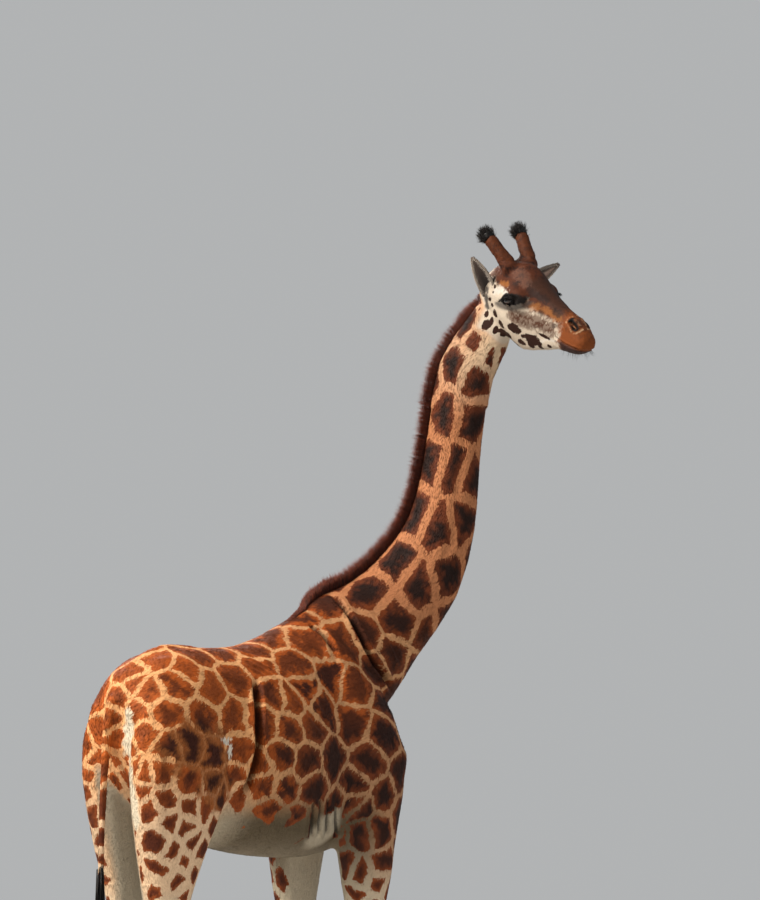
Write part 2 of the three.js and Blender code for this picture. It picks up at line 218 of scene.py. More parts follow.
def refine(points, faces, wanted):
    """Halves the edges of the wanted triangles, and splits their neighbours to match."""
    ends = np.sort(np.stack([faces, np.roll(faces, -1, 1)], -1), -1)
    keys = ends[..., 0] * len(points) + ends[..., 1]
    halved = np.unique(keys[wanted(points[faces].mean(1))])
    index = np.minimum(np.searchsorted(halved, keys), len(halved) - 1)
    split = halved[index] == keys
    mids = len(points) + index
    made = np.vstack([points, (points[halved // len(points)] + points[halved % len(points)]) / 2])
    parts = [faces[split.sum(1) == 0]]
    for turn in range(3):
        v, m, cut = (np.roll(rows, -turn, 1) for rows in (faces, mids, split))
        one = cut[:, 0] & ~cut[:, 1] & ~cut[:, 2]
        two = cut[:, 0] & cut[:, 1] & ~cut[:, 2]
        parts += [np.stack(corners, 1) for corners in (
            (v[one, 0], m[one, 0], v[one, 2]), (m[one, 0], v[one, 1], v[one, 2]),
            (m[two, 0], v[two, 1], m[two, 1]), (v[two, 0], m[two, 0], m[two, 1]),
            (v[two, 0], m[two, 1], v[two, 2]))]
    v, m = faces[split.all(1)], mids[split.all(1)]
    parts += [np.stack(corners, 1) for corners in (
        (v[:, 0], m[:, 0], m[:, 2]), (m[:, 0], v[:, 1], m[:, 1]), (m[:, 2], m[:, 1], v[:, 2]),
        (m[:, 0], m[:, 1], m[:, 2]))]
    return made, np.concatenate(parts)


def near_head(points):
    """Over the head, and over the horns, which lean back past the poll."""
    along, up, out = in_head(points).T
    horn = (up > 120) & (up < 330) & (np.abs(out) < 150) & (along > -80)
    return ((along > -10) & (along < 800) & (up > -260)) | horn


def near_face(points):
    """Round each eye, the nostrils and the lips."""
    along, up, out = in_head(points).T
    eye = np.hypot(along - EYE[0], up - EYE[1]) < 62
    return (eye & (np.abs(out) > 70)) | (along > 520)


def near_eye(points):
    """Round the opening of each eye."""
    along, up, out = in_head(points).T
    return (np.hypot(along - EYE[0], up - EYE[1]) < 40) & (np.abs(out) > 90)


whole = flesh_mesh()
whole.calc_loop_triangles()
flesh = np.empty(len(whole.vertices) * 3)
whole.vertices.foreach_get("co", flesh)
flesh = (flesh.reshape(-1, 3) - ORIGIN) * 1000
faces = np.empty(len(whole.loop_triangles) * 3, np.int64)
whole.loop_triangles.foreach_get("vertices", faces)
faces = faces.reshape(-1, 3)
for wanted in (near_head, near_face, near_eye):
    flesh, faces = refine(flesh, faces, wanted)
edges = np.unique(np.sort(np.concatenate([faces[:, [0, 1]], faces[:, [1, 2]], faces[:, [2, 0]]]), 1), axis=0)


def normals_of(points, faces):
    """Each point's normal, weighted by the areas of its faces."""
    a, b, c = (points[faces[:, k]] for k in range(3))
    across = np.cross(b - a, c - a)
    total = np.zeros_like(points)
    for k in range(3):
        for axis in range(3):
            total[:, axis] += np.bincount(faces[:, k], across[:, axis], len(points))
    return unit(total)


def relaxed(points, edges, rounds, amount=0.5, back=-0.52):
    """Smooths without shrinking: a step toward the neighbours, then a step back."""
    both = np.concatenate([edges, edges[:, ::-1]])
    both = both[np.argsort(both[:, 0], kind="stable")]
    starts = np.searchsorted(both[:, 0], np.arange(len(points)))
    count = np.diff(np.append(starts, len(both)))
    columns = list(points.T.copy())
    for step in [amount, back] * rounds:
        for axis in range(3):
            total = np.add.reduceat(columns[axis][both[:, 1]], starts)
            columns[axis] += step * (total / count - columns[axis])
    return np.stack(columns, 1)


SMOOTHING = 25  # rounds over the whole animal
BODY_SMOOTHING = 90  # more rounds over the broad flesh, which has wide facets
BROAD_LOW, BROAD_HIGH, DOCK_FROM = 1500, 3700, 715  # its heights, and where the dock starts behind it
flesh = relaxed(flesh, edges, SMOOTHING)
broad = smooth(-30, -120, in_head(flesh)[:, 0]) * smooth(1150, BROAD_LOW, flesh[:, 2])
broad = np.maximum(broad, (flesh[:, 2] > BROAD_LOW) & (flesh[:, 2] < BROAD_HIGH)) * (flesh[:, 1] <= DOCK_FROM)
flesh += broad[:, None] * (relaxed(flesh, edges, BODY_SMOOTHING, back=-0.40) - flesh)
depth = OVERLAP * 1000 + COAT_DEPTH * (1 - 0.5 * near_head(flesh))
flesh -= normals_of(flesh, faces) * depth[:, None]


def stride(z, ahead):
    """How far a left leg stands ahead of the right one at a height."""
    return ahead * (1 - smooth(1300, 2300, z))


HIND_STRIDE, FORE_STRIDE = 110, -67
MIDLENGTH = -100  # behind this y the legs are hind legs


def on_side(spot, side):
    """The same spot on her right (-1) or left (1) side; left legs stand ahead of the right ones."""
    x, y, z = spot
    if side < 0:
        return np.array([x, y, z], float)
    return np.array([-x, y - stride(z, HIND_STRIDE if y > MIDLENGTH else FORE_STRIDE), z])


def swell(spot, reach, height):
    """Raises the skin round a spot along its own normals, or sinks it where height is negative."""
    away = (flesh - spot) / np.asarray(reach, float)
    square = (away ** 2).sum(1)
    near = square < 5
    flesh[near] += normals[near] * (height * np.exp(-1.2 * square[near]))[:, None]


def distance_to(line, points):
    """Distance of points from a line through spots, and the share of the line where it is least."""
    line = np.asarray(line, float)
    nearest, share = np.full(len(points), np.inf), np.zeros(len(points))
    for k, (start, end) in enumerate(zip(line, line[1:])):
        run = end - start
        along = np.clip((points - start) @ run / (run @ run), 0, 1)
        gap = np.linalg.norm(points - start - along[:, None] * run, axis=1)
        closer = gap < nearest
        nearest[closer] = gap[closer]
        share[closer] = ((k + along) / (len(line) - 1))[closer]
    return nearest, share


def fold(line, width, height, lip=0.0):
    """Raises (or sinks) the skin along a line, fading at its ends, with lips beside it."""
    spots = np.asarray(line, float)
    low, high = spots.min(0) - 5 * width, spots.max(0) + 5 * width
    near = np.flatnonzero(((flesh > low) & (flesh < high)).all(1))
    gap, share = distance_to(spots, flesh[near])
    fade = smooth(0, 0.15, share) * smooth(1, 0.85, share)
    shape = height * np.exp(-(gap / width) ** 2) + lip * np.exp(-((gap - 2 * width) / width) ** 2)
    flesh[near] += normals[near] * (shape * fade)[:, None]


# Painted shade: hair is darkened round the bottom of each deep crease, out to the reach kept here.
creases = []  # the bottom of each deep crease, and how far its darkness reaches


def crease(line, width, height, lip):
    """Folds the skin in along a line that is first laid on it, and keeps its bottom for painted shade."""
    at = [((flesh - spot) ** 2).sum(1).argmin() for spot in line]
    laid, sunk = flesh[at], 0.6 * height * normals[at]
    fold(laid, width, height, lip)
    creases.append((laid + sunk, math.hypot(width, 0.6 * height)))


# What lies under the hide, on each side: a spot on her right side, its reach and its height.
LUMPS = [
    ((-232, 215, 2440), (50, 60, 48), 15),  # hip bone
    ((-120, 690, 2250), (50, 45, 50), 9),  # seat bone
    ((-262, 80, 2330), (60, 65, 110), -16),  # hollow of the flank
    ((-290, 420, 2080), (60, 130, 210), 9),  # great muscle of the thigh
    ((-262, 240, 1950), (60, 80, 180), 7),
    ((-262, 195, 1730), (55, 55, 60), 10),  # stifle
    ((-175, 655, 1062), (30, 30, 38), 9),  # point of the hock
    ((-228, 545, 1010), (25, 30, 35), 6),
    ((-175, 612, 232), (26, 22, 26), 7),  # ergot, hind
    ((-280, -830, 2050), (60, 60, 75), 12),  # point of the shoulder
    ((-325, -560, 1910), (50, 105, 160), 15),  # triceps
    ((-240, -490, 1650), (45, 38, 52), 16),  # elbow
    ((-290, -770, 1540), (45, 45, 130), 8),  # muscle of the forearm
    ((-190, -786, 925), (40, 22, 45), 7),  # knee
    ((-245, -720, 930), (22, 30, 45), 5),
    ((-190, -655, 935), (28, 20, 32), 6),
    ((-190, -650, 232), (26, 22, 26), 7),  # ergot, fore
    ((-110, -900, 1900), (75, 60, 130), 11),  # breast
    ((-330, -300, 1950), (60, 110, 190), 6),  # barrel behind the elbow
]
# Tendons, which show on both sides of each leg: one line, its width, depth and lips, and twice the
# x of the leg's middle.
TENDONS = [
    ([(-235, 560, 1480), (-222, 596, 1290), (-214, 606, 1140)], 14, -8, 0, -350),  # before the hock's
    ([(-214, 574, 900), (-211, 572, 620), (-212, 572, 330)], 8, -4, 0, -350),  # hind cannon
    ([(-231, -700, 830), (-228, -700, 600), (-230, -700, 330)], 8, -4, 0, -380),  # fore cannon
]
FOLDS = [([(-190, 650, 2270), (-262, 615, 2020), (-250, 612, 1780), (-205, 615, 1520)], 24, -8, 2)]
for line, width, height, lip, twice in TENDONS:
    FOLDS += [(line, width, height, lip), ([(twice - x, y, z) for x, y, z in line], width, height, lip)]
FOLDS += [
    ([(-140, -500, 2610), (-235, -620, 2380), (-290, -740, 2130)], 30, 9, -4),  # spine of the blade
    ([(-255, -425, 2420), (-318, -410, 2150), (-325, -420, 1900), (-290, -440, 1740)], 30, -10, 0),
    ([(-60, 548, 1722), (-112, 640, 1735), (-168, 664, 1716)], 7, -4, 2),  # wrinkles behind the thigh
    ([(-62, 535, 1668), (-112, 628, 1680), (-165, 652, 1660)], 7, -4, 2),
    ([(-66, 520, 1616), (-112, 616, 1626), (-162, 640, 1606)], 7, -4, 2),
    ([(-70, 512, 1560), (-112, 606, 1570), (-158, 630, 1552)], 7, -3, 2),
    ([(-318, -700, 2000), (-300, -690, 1780), (-290, -650, 1620)], 20, -7, 2),
]
LONE_FOLDS = [
    ([(0, 180, 2556), (0, 420, 2552), (0, 640, 2460)], 32, 9, -3),  # ridge of the croup
    ([(0, -935, 2200), (0, -900, 1900), (0, -800, 1680)], 22, -12, 3),  # between the breast muscles
    # Creases of the hide where the neck bends to her right
    ([(-60, -640, 2770), (-175, -625, 2620), (-245, -700, 2470), (-275, -790, 2330)], 12, -8, 4),
    ([(-40, -800, 2880), (-140, -800, 2740), (-195, -870, 2610), (-215, -940, 2480)], 11, -7, 3),
    ([(-100, 20, 2530), (-190, -80, 2470), (-270, -190, 2360), (-320, -330, 2190)], 10, -6, 3),
    ([(-140, 70, 2500), (-235, -60, 2410), (-300, -180, 2280), (-335, -300, 2120)], 10, -5, 2),
    ([(-30, -480, 2725), (-110, -490, 2655), (-200, -480, 2530), (-262, -500, 2410)], 12, -6, 3),
]
# Deep creases, with painted shade inside, in pairs and alone: a line, its width, its depth and its lips.
CREASES = [
    ([(-219, 38, 2420), (-252, 59, 2353), (-280, 80, 2280), (-301, 98, 2192), (-309, 104, 2098),
      (-300, 118, 2020), (-280, 140, 1930), (-256, 178, 1860)], 15, -46, 13),  # before the thigh
    ([(-324, -220, 1865), (-264, -277, 1753), (-200, -340, 1690)], 11, -13, 5),  # behind the elbow
    ([(-327, -263, 1879), (-274, -312, 1776), (-202, -380, 1694)], 11, -13, 5),
    ([(-317, -325, 1879), (-264, -375, 1775), (-190, -445, 1693)], 11, -13, 5),
    ([(-298, -397, 1865), (-247, -450, 1775), (-169, -533, 1693)], 10, -11, 5)]
LONE_CREASES = [
    ([(46, -697, 2828), (-71, -675, 2754), (-138, -691, 2666), (-179, -715, 2573), (-200, -745, 2496),
      (-202, -824, 2424), (-168, -915, 2362)], 14, -34, 12),  # foot of the neck
    ([(-75, -446, 2674), (-127, -458, 2637), (-174, -480, 2586), (-205, -510, 2520)], 12, -16, 6)]
RIBS = 8  # that show faintly through the hide behind the blade

normals = normals_of(flesh, faces)
for side in (-1, 1):
    for spot, reach, height in LUMPS:
        swell(on_side(spot, side), reach, height)
    for line, *shape in FOLDS:
        fold([on_side(spot, side) for spot in line], *shape)
    for k in range(RIBS):
        y = -330 + 62 * k
        fold([(side * 250, y - 20, 2400), (side * 340, y + 10, 2120), (side * 330, y + 60, 1850)], 20, 2.6)
    for line, *shape in CREASES:
        crease([on_side(spot, side) for spot in line], *shape)
for line, *shape in LONE_FOLDS:
    fold(line, *shape)
for line, *shape in LONE_CREASES:
    crease(line, *shape)

# Coronets: the hide swells over the top edge of each hoof
CORONET, CORONET_HEIGHT, CORONET_TALL = 10, 110, 18
level = CORONET * np.exp(-((flesh[:, 2] - CORONET_HEIGHT) / CORONET_TALL) ** 2)
flesh[:, :2] += normals[:, :2] * level[:, None]

# Neck: its centre line, in x, y and z, and the way its throat faces, in degrees to her right.
NECK_LINE = np.array([
    (-38, -1007, 2666, 20), (-123, -1187, 2899, 35), (-176, -1255, 3166, 43), (-203, -1280, 3428, 48),
    (-230, -1295, 3661, 54), (-269, -1311, 3877, 64), (-345, -1342, 4035, 80), (-430, -1356, 4170, 92)])


def neck_at(z):
    """The neck's centre at a height, and its nape and right-hand directions there."""
    x, y, turn = (np.interp(z, NECK_LINE[:, 2], NECK_LINE[:, k]) for k in (0, 1, 3))
    turn = np.radians(turn)
    centre = np.stack([x, y, z + 0 * x], -1)
    nape = np.stack([np.sin(turn), np.cos(turn), 0 * turn], -1)
    return centre, nape, np.stack([-np.cos(turn), np.sin(turn), 0 * turn], -1)


def on_neck(degrees, z, reach):
    """A spot at an angle from the nape, to her right where it is positive."""
    centre, nape, right = neck_at(float(z))
    angle = math.radians(degrees)
    return centre + reach * (math.cos(angle) * nape + math.sin(angle) * right)


for side in (-1, 1):
    fold([on_neck(side * angle, z, reach) for angle, z, reach in
          ((118, 2750, 190), (118, 3100, 130), (116, 3500, 112), (112, 3900, 105))], 24, -7, 2)  # vein
    for k in range(5):  # bones of the neck
        swell(on_neck(side * 80, 2900 + 245 * k, 125 - 7 * k), (60, 60, 85), 4.5)
    fold([on_neck(side * angle, z, reach) for angle, z, reach in
          ((32, 2900, 190), (34, 3300, 128), (36, 3800, 118))], 26, -4, 2)

# Head, in its own measures: along, up and out.
HEAD_LUMPS = [
    ((300, 108, 118), (62, 24, 40), 7),  # brow over the eye
    ((168, 72, 116), (32, 38, 30), -7),  # temple
    ((250, -75, 110), (75, 58, 34), 5),  # cheek
    ((352, 62, 96), (46, 30, 28), -3),  # before the eye
    ((640, 68, 60), (46, 28, 26), 4),  # round the nostril
    ((690, 8, 38), (32, 26, 26), 5),  # upper lip
    ((470, -60, 66), (70, 24, 24), -4),  # bars of the jaw
    ((84, 0, 96), (42, 42, 30), 8),  # root of the ear
]
HEAD_FOLDS = [
    ([(285, -8, 116), (360, -22, 98), (450, -18, 78)], 17, 4, 0),  # ridge of the cheek
    ([(205, -30, 122), (225, -120, 104), (300, -158, 82)], 20, 3.5, -2),  # edge of the jaw
    ([(500, 92, 42), (420, 112, 52), (350, 140, 60)], 20, 3, 0),  # edge of the nose
    ([(528, -20, 58), (570, -24, 64), (620, -26, 64), (668, -24, 56), (700, -18, 30), (712, -14, 0)],
     5.5, -9, 2.5),  # mouth
]
NOSTRIL = [(594, 84, 40), (612, 78, 40), (630, 71, 38), (648, 60, 38)]


def on_skin(spot):
    """The point of the skin nearest to a spot."""
    return flesh[((flesh - spot) ** 2).sum(1).argmin()]


normals = normals_of(flesh, faces)
for side in (-1, 1):
    for (along, up, side_way), reach, height in HEAD_LUMPS:
        gap = (in_head(flesh) - (along, up, side * side_way)) / np.array(reach, float)
        flesh += normals * (height * np.exp(-1.2 * (gap ** 2).sum(1)))[:, None]
    for line, width, height, lip in HEAD_FOLDS:
        fold([on_head(along, up, side * side_way) for along, up, side_way in line], width, height, lip)
for side in (-1, 1):
    slit = [on_skin(on_head(along, up, side * side_way)) for along, up, side_way in NOSTRIL]
    swell(slit[1], (34, 34, 34), 5)
    fold(slit, 10, -22, 4)
# The horns' skin lies thicker toward their ends
HORN_FROM, HORN_END = 205, 290
along, up, out = in_head(flesh).T
horn = (up > HORN_FROM) & (along < 190)
flesh[horn] += normals[horn] * (5 + 8 * smooth(HORN_FROM, HORN_END, up[horn]))[:, None]
fold([on_head(300, -178, 0), on_head(400, -150, 0), on_head(540, -112, 0)], 22, -9, 2)  # under the jaw
for spot, reach, height in (
        ((226, 204, 0), (62, 62, 62), 9),  # the bump before the horns
        ((340, -175, 0), (110, 50, 80), 15),  # throat
        ((552, -104, 0), (52, 36, 60), -16),  # behind the chin
        ((655, -52, 0), (50, 30, 40), 6)):  # lower lip
    swell(on_head(*spot), reach, height)

# Eyelids: an almond opening whose rim lies on the ball and whose inside is sunk behind it.
LID = 4.0  # how thick the rim is
EYE_LONG, EYE_UPPER, EYE_LOWER = 26.5, 14.0, 12.5
EYE_TURNS = (0.22, 0.10)  # how far an eye looks forward and up, to 1 out


def eye_frame(side):
    """An eye's centre, and its forward, up and outward directions."""
    forward, crown, cheek = HEAD_AXES
    out_way = unit(side * cheek + EYE_TURNS[0] * forward + EYE_TURNS[1] * crown)
    ahead = forward + 0.42 * crown
    ahead = unit(ahead - ahead @ out_way * out_way)
    upward = np.cross(ahead, out_way) * (1 if side < 0 else -1)
    upward = upward if upward @ crown > 0 else -upward
    return on_head(EYE[0], EYE[1], side * EYE[2]), np.array([ahead, upward, out_way])


def by_eye(points, side):
    """Places as ahead, up and out from an eye's centre."""
    centre, axes = eye_frame(side)
    return ((points - centre) @ axes.T).T


for side in (-1, 1):
    centre, axes = eye_frame(side)
    local = (flesh - centre) @ axes.T
    near = (np.hypot(local[:, 0], local[:, 1]) < 60) & (local[:, 2] > -20)
    s, t, n = local[near].T
    high = np.where(t > 0, EYE_UPPER, EYE_LOWER)
    opening = (np.abs(s) / EYE_LONG) ** 1.6 + (np.abs(t) / high) ** 1.9
    opening = opening ** 0.55 - 1
    square = np.maximum(s ** 2 + t ** 2, 0)
    ball = np.sqrt(np.maximum(EYE_RADIUS ** 2 - square, 4))
    lid = np.sqrt(np.maximum((EYE_RADIUS + LID) ** 2 - square * 0.86, 16))
    heavy = 2.5 * smooth(-4, 10, t) * np.exp(-((opening - 0.25) / 0.3) ** 2)
    blend = smooth(0.1, 1.5, opening)
    shaped = lid + heavy + (n - lid - heavy) * blend
    shaped -= 3.0 * np.exp(-((opening - 0.75) / 0.13) ** 2) * (t > 2)  # crease above the upper lid
    shaped -= 1.6 * np.exp(-((opening - 0.6) / 0.12) ** 2) * (t < -2)
    sunk = smooth(0.04, -0.10, opening)
    local[near, 2] = shaped + (ball - 9 - shaped) * sunk
    flesh[near] = local[near] @ axes + centre


def mesh_of(name, points, faces, finish):
    """A smooth-shaded object from arrays of places in metres and of triangles."""
    mesh = bpy.data.meshes.new(name)
    mesh.vertices.add(len(points))
    mesh.vertices.foreach_set("co", np.asarray(points, np.float32).ravel())
    mesh.loops.add(faces.size)
    mesh.loops.foreach_set("vertex_index", faces.astype(np.int32).ravel())
    mesh.polygons.add(len(faces))
    mesh.polygons.foreach_set("loop_start", np.arange(len(faces), dtype=np.int32) * faces.shape[1])
    mesh.update(calc_edges=True)
    mesh.materials.append(finish)
    made = bpy.data.objects.new(name, mesh)
    scene.collection.objects.link(made)
    return made


def layer_on(piece, name, values, kind="FLOAT"):
    """Keeps a number, a colour or a direction at each point of a piece, for its material."""
    if kind == "FLOAT_COLOR":
        values = np.column_stack([values, np.ones(len(values))])
    field = {"FLOAT": "value", "FLOAT_COLOR": "color", "FLOAT_VECTOR": "vector"}[kind]
    layer = piece.data.attributes.new(name, kind, "POINT")
    layer.data.foreach_set(field, np.asarray(values, np.float32).ravel())


def set_on(piece, slot, *solids):
    """Sets a piece on her body, in place of the solids that it stands for. Its slot is not used."""
    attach(piece, "root")
    if solids:
        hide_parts(*solids)


# ---- Markings ------------------------------------------------------------------------------------
# Each patch grows from a spot and meets its neighbours halfway, with a pale line left between them.
# The lines widen down the legs and under the belly until no patch is left, as on this subspecies,
# whose stockings are plain.

# Middles of the patches that the visitor sees, in centimetres: across the view and up.
RUMP_PATCHES = [
    (-30, 248), (-13, 251), (-16, 244), (-40, 243), (-20, 237), (-38, 237), (-33, 234), (-5, 235),
    (5, 241), (-24, 226), (-8, 222), (4, 223), (-34, 214), (-38, 225), (-23, 209), (-14, 211),
    (-4, 205), (7, 209), (-25, 198), (-40, 207), (-39, 201), (-34, 197), (-14, 193), (-25, 187),
    (-35, 191), (-31, 183), (-5, 193), (4, 196), (-1, 186), (-14, 183), (-7, 183), (-23, 176),
    (-16, 174), (-4, 176), (-28, 169), (-21, 165), (-13, 168), (-27, 157), (-16, 160), (-19, 152),
    (-30, 148), (-12, 155)]
BUTTOCK_PATCHES = [
    (-46, 231), (-51, 222), (-56, 217), (-47, 214), (-61, 211), (-56, 203), (-50, 203), (-58, 198),
    (-54, 191), (-49, 193), (-59, 180), (-53, 184), (-50, 178), (-56, 169), (-49, 171), (-55, 160)]
BARREL_PATCHES = [
    (18, 260), (10, 254), (35, 260), (40, 277), (52, 258), (31, 245), (14, 246), (21, 234),
    (29, 231), (35, 237), (44, 228), (48, 239), (56, 237), (39, 219), (29, 218), (18, 221),
    (26, 206), (36, 203), (16, 193), (28, 193), (48, 204), (56, 222), (38, 191), (67, 245),
    (71, 216), (65, 202), (78, 199), (57, 193), (67, 172), (57, 184), (69, 157), (13, 202),
    (48, 184), (19, 182), (31, 179)]
NECK_PATCHES = [
    (63, 282), (76, 270), (76, 297), (87, 287), (86, 321), (96, 314), (108, 315), (93, 344),
    (103, 342), (113, 337), (99, 367), (111, 364), (104, 389), (114, 382), (101, 289), (91, 262),
    (110, 409), (115, 401), (120, 396), (126, 397), (106, 418)]
FORELEG_PATCHES = [
    (60, 153), (68, 148), (75, 154), (53, 157), (58, 144), (72, 142), (61, 171), (59, 182)]
SPACING = {"body": 165, "neck": 165, "thigh": 100, "leg": 85, "head": 44}  # of the patches not seen
NECK_SQUEEZE = 0.8  # heights on the neck count for this much, which makes its patches tall
TRIES, CROWDING = 9000, 0.86  # places tried for unseen patches, and how far they may crowd
WAVES = 14  # sines that add up to one ripple
BATCH = 20000  # places measured at a time

hide_tree = BVHTree.FromPolygons([Vector(v) for v in flesh], [tuple(face) for face in faces.tolist()])


def seen(patches):
    """Where the visitor's level line of sight to each patch meets the hide."""
    found = []
    for across, up in patches:
        start = ACROSS * across * 10 - AWAY * 4000 + [0, 0, up * 10]
        hit = hide_tree.ray_cast(Vector(start), Vector(AWAY))[0]
        if hit is not None:
            found.append(hit)
    return [np.array(spot) for spot in found]


def zones(points):
    """How far each place belongs to the head, the neck and the lower legs, from 0 to 1."""
    along, up, _ = in_head(points).T
    jaw = -148 - 60 * smooth(120, 230, along)
    back = 60 * smooth(-20, -70, up)
    head = smooth(back - 20, back + 30, along) * smooth(jaw - 26, jaw, up) * (points[:, 2] > 3700)
    neck = smooth(2560, 2820, points[:, 2] - 0.28 * (points[:, 1] + 900)) * (1 - head)
    leg = smooth(1750, 1250, points[:, 2])
    return head, neck, leg


def spacing(points):
    """How far apart the middles of unseen patches lie at each place."""
    head, neck, leg = zones(points)
    thigh = smooth(2150, 1850, points[:, 2]) * (points[:, 1] > 50)
    gap = SPACING["body"] + (SPACING["thigh"] - SPACING["body"]) * thigh
    gap = gap + (SPACING["leg"] - gap) * leg
    gap = gap + (SPACING["neck"] - gap) * neck
    return gap + (SPACING["head"] - gap) * head


def squeezed(points):
    """Places with the neck's height drawn in, which makes patches taller than wide there."""
    out = np.array(points, float)
    out[:, 2] -= (1 - NECK_SQUEEZE) * np.clip(out[:, 2] - 2650, 0, 1400)
    return out


def ripple(points, size, seed):
    """Smooth wandering values, mostly between -1 and 1, with waves about `size` long."""
    rng = np.random.default_rng(seed)
    waves = unit(rng.normal(size=(WAVES, 3))) * rng.uniform(0.6, 1.5, (WAVES, 1)) * 2 * math.pi / size
    return np.sin(points @ waves.T + rng.uniform(0, 2 * math.pi, WAVES)).sum(1) / 3.7


spots = seen(RUMP_PATCHES + BUTTOCK_PATCHES + BARREL_PATCHES + NECK_PATCHES + FORELEG_PATCHES)
rng = np.random.default_rng(7)
candidates = flesh[rng.permutation(len(flesh))[:TRIES]]
settled = squeezed(np.array(spots))
for candidate, flat, gap in zip(candidates, squeezed(candidates), spacing(candidates)):
    if np.linalg.norm(settled - flat, axis=1).min() > CROWDING * gap:
        spots.append(candidate)
        settled = np.vstack([settled, flat])
spots = np.array(spots)


def patch_depth(points):
    """Millimetres inside the nearest patch's border with the next, and which patch it is."""
    wander = np.stack([ripple(points, 190, seed) for seed in (1, 2, 3)], -1) * 9
    wander += np.stack([ripple(points, 46, seed) for seed in (4, 5, 6)], -1) * 3.5
    head = zones(points)[0]
    flat = squeezed(points + wander * (1 - 0.7 * head)[:, None]).astype(np.float32)
    homes = settled.astype(np.float32)
    depth, which = np.empty(len(points)), np.empty(len(points), int)
    for start in range(0, len(points), BATCH):
        part = flat[start:start + BATCH]
        square = ((part ** 2).sum(1)[:, None] + (homes ** 2).sum(1) - 2 * part @ homes.T)
        two = np.argpartition(square, 1, axis=1)[:, :2]
        rows = np.arange(len(part))
        first, second = square[rows, two[:, 0]], square[rows, two[:, 1]]
        swap = first > second
        two[swap] = two[swap][:, ::-1]
        apart = np.linalg.norm(homes[two[:, 0]] - homes[two[:, 1]], axis=1)
        depth[start:start + BATCH] = np.abs(second - first) / (2 * apart + 1e-6)
        which[start:start + BATCH] = two[:, 0]
    return depth, which


def mixed(under, over, share):
    """Rows of colour with another colour laid over them by a share."""
    return under + (np.asarray(over) - under) * np.clip(share, 0, 1)[:, None]


def bump_at(points, spot, reach):
    """1 at a spot and less all round it."""
    return np.exp(-(((points - spot) / np.asarray(reach, float)) ** 2).sum(1))


def colours(**codes):
    """Hair colours by name, as rows that can be mixed."""
    return {name: np.array(linear(code)[:3]) for name, code in codes.items()}


# The pale ground first, then the patches' rims and middles, then the face.
# line_shade is the pale lines' colour in painted shade, and the belly's colour is its cream hair painted dark
# as painted shade.
HAIR = colours(
    line_body="#eeae74", line_shade="#a67c5b", line_neck="#bf7d53", belly="#5d503c", stocking="#e2d3b8",
    face="#cbbca9", inner_leg="#b0a48f", throat="#d3b999", rim_body="#b2561d", core_body="#3f1a0c",
    rim_neck="#6a3218", core_neck="#24110a", rim_leg="#94491f", core_leg="#5a2712", spot_head="#2f170e",
    fuzzy="#a05c2c", forehead="#522814", nose="#3d2317", muzzle="#7b3f18", lip="#3a211a", tan="#a06430",
    mottle="#543526", dark="#291610", lid="#120c0a", grey="#3d3837", pale="#d6cdc2", scar="#e6dccd",
    pink="#8b6656", horn="#582b12", ring="#d3ab82")


def painted(base, *layers):
    """Colour rows with named hair colours laid over them, one after another."""
    for name, share in layers:
        base = mixed(base, HAIR[name], share)
    return base


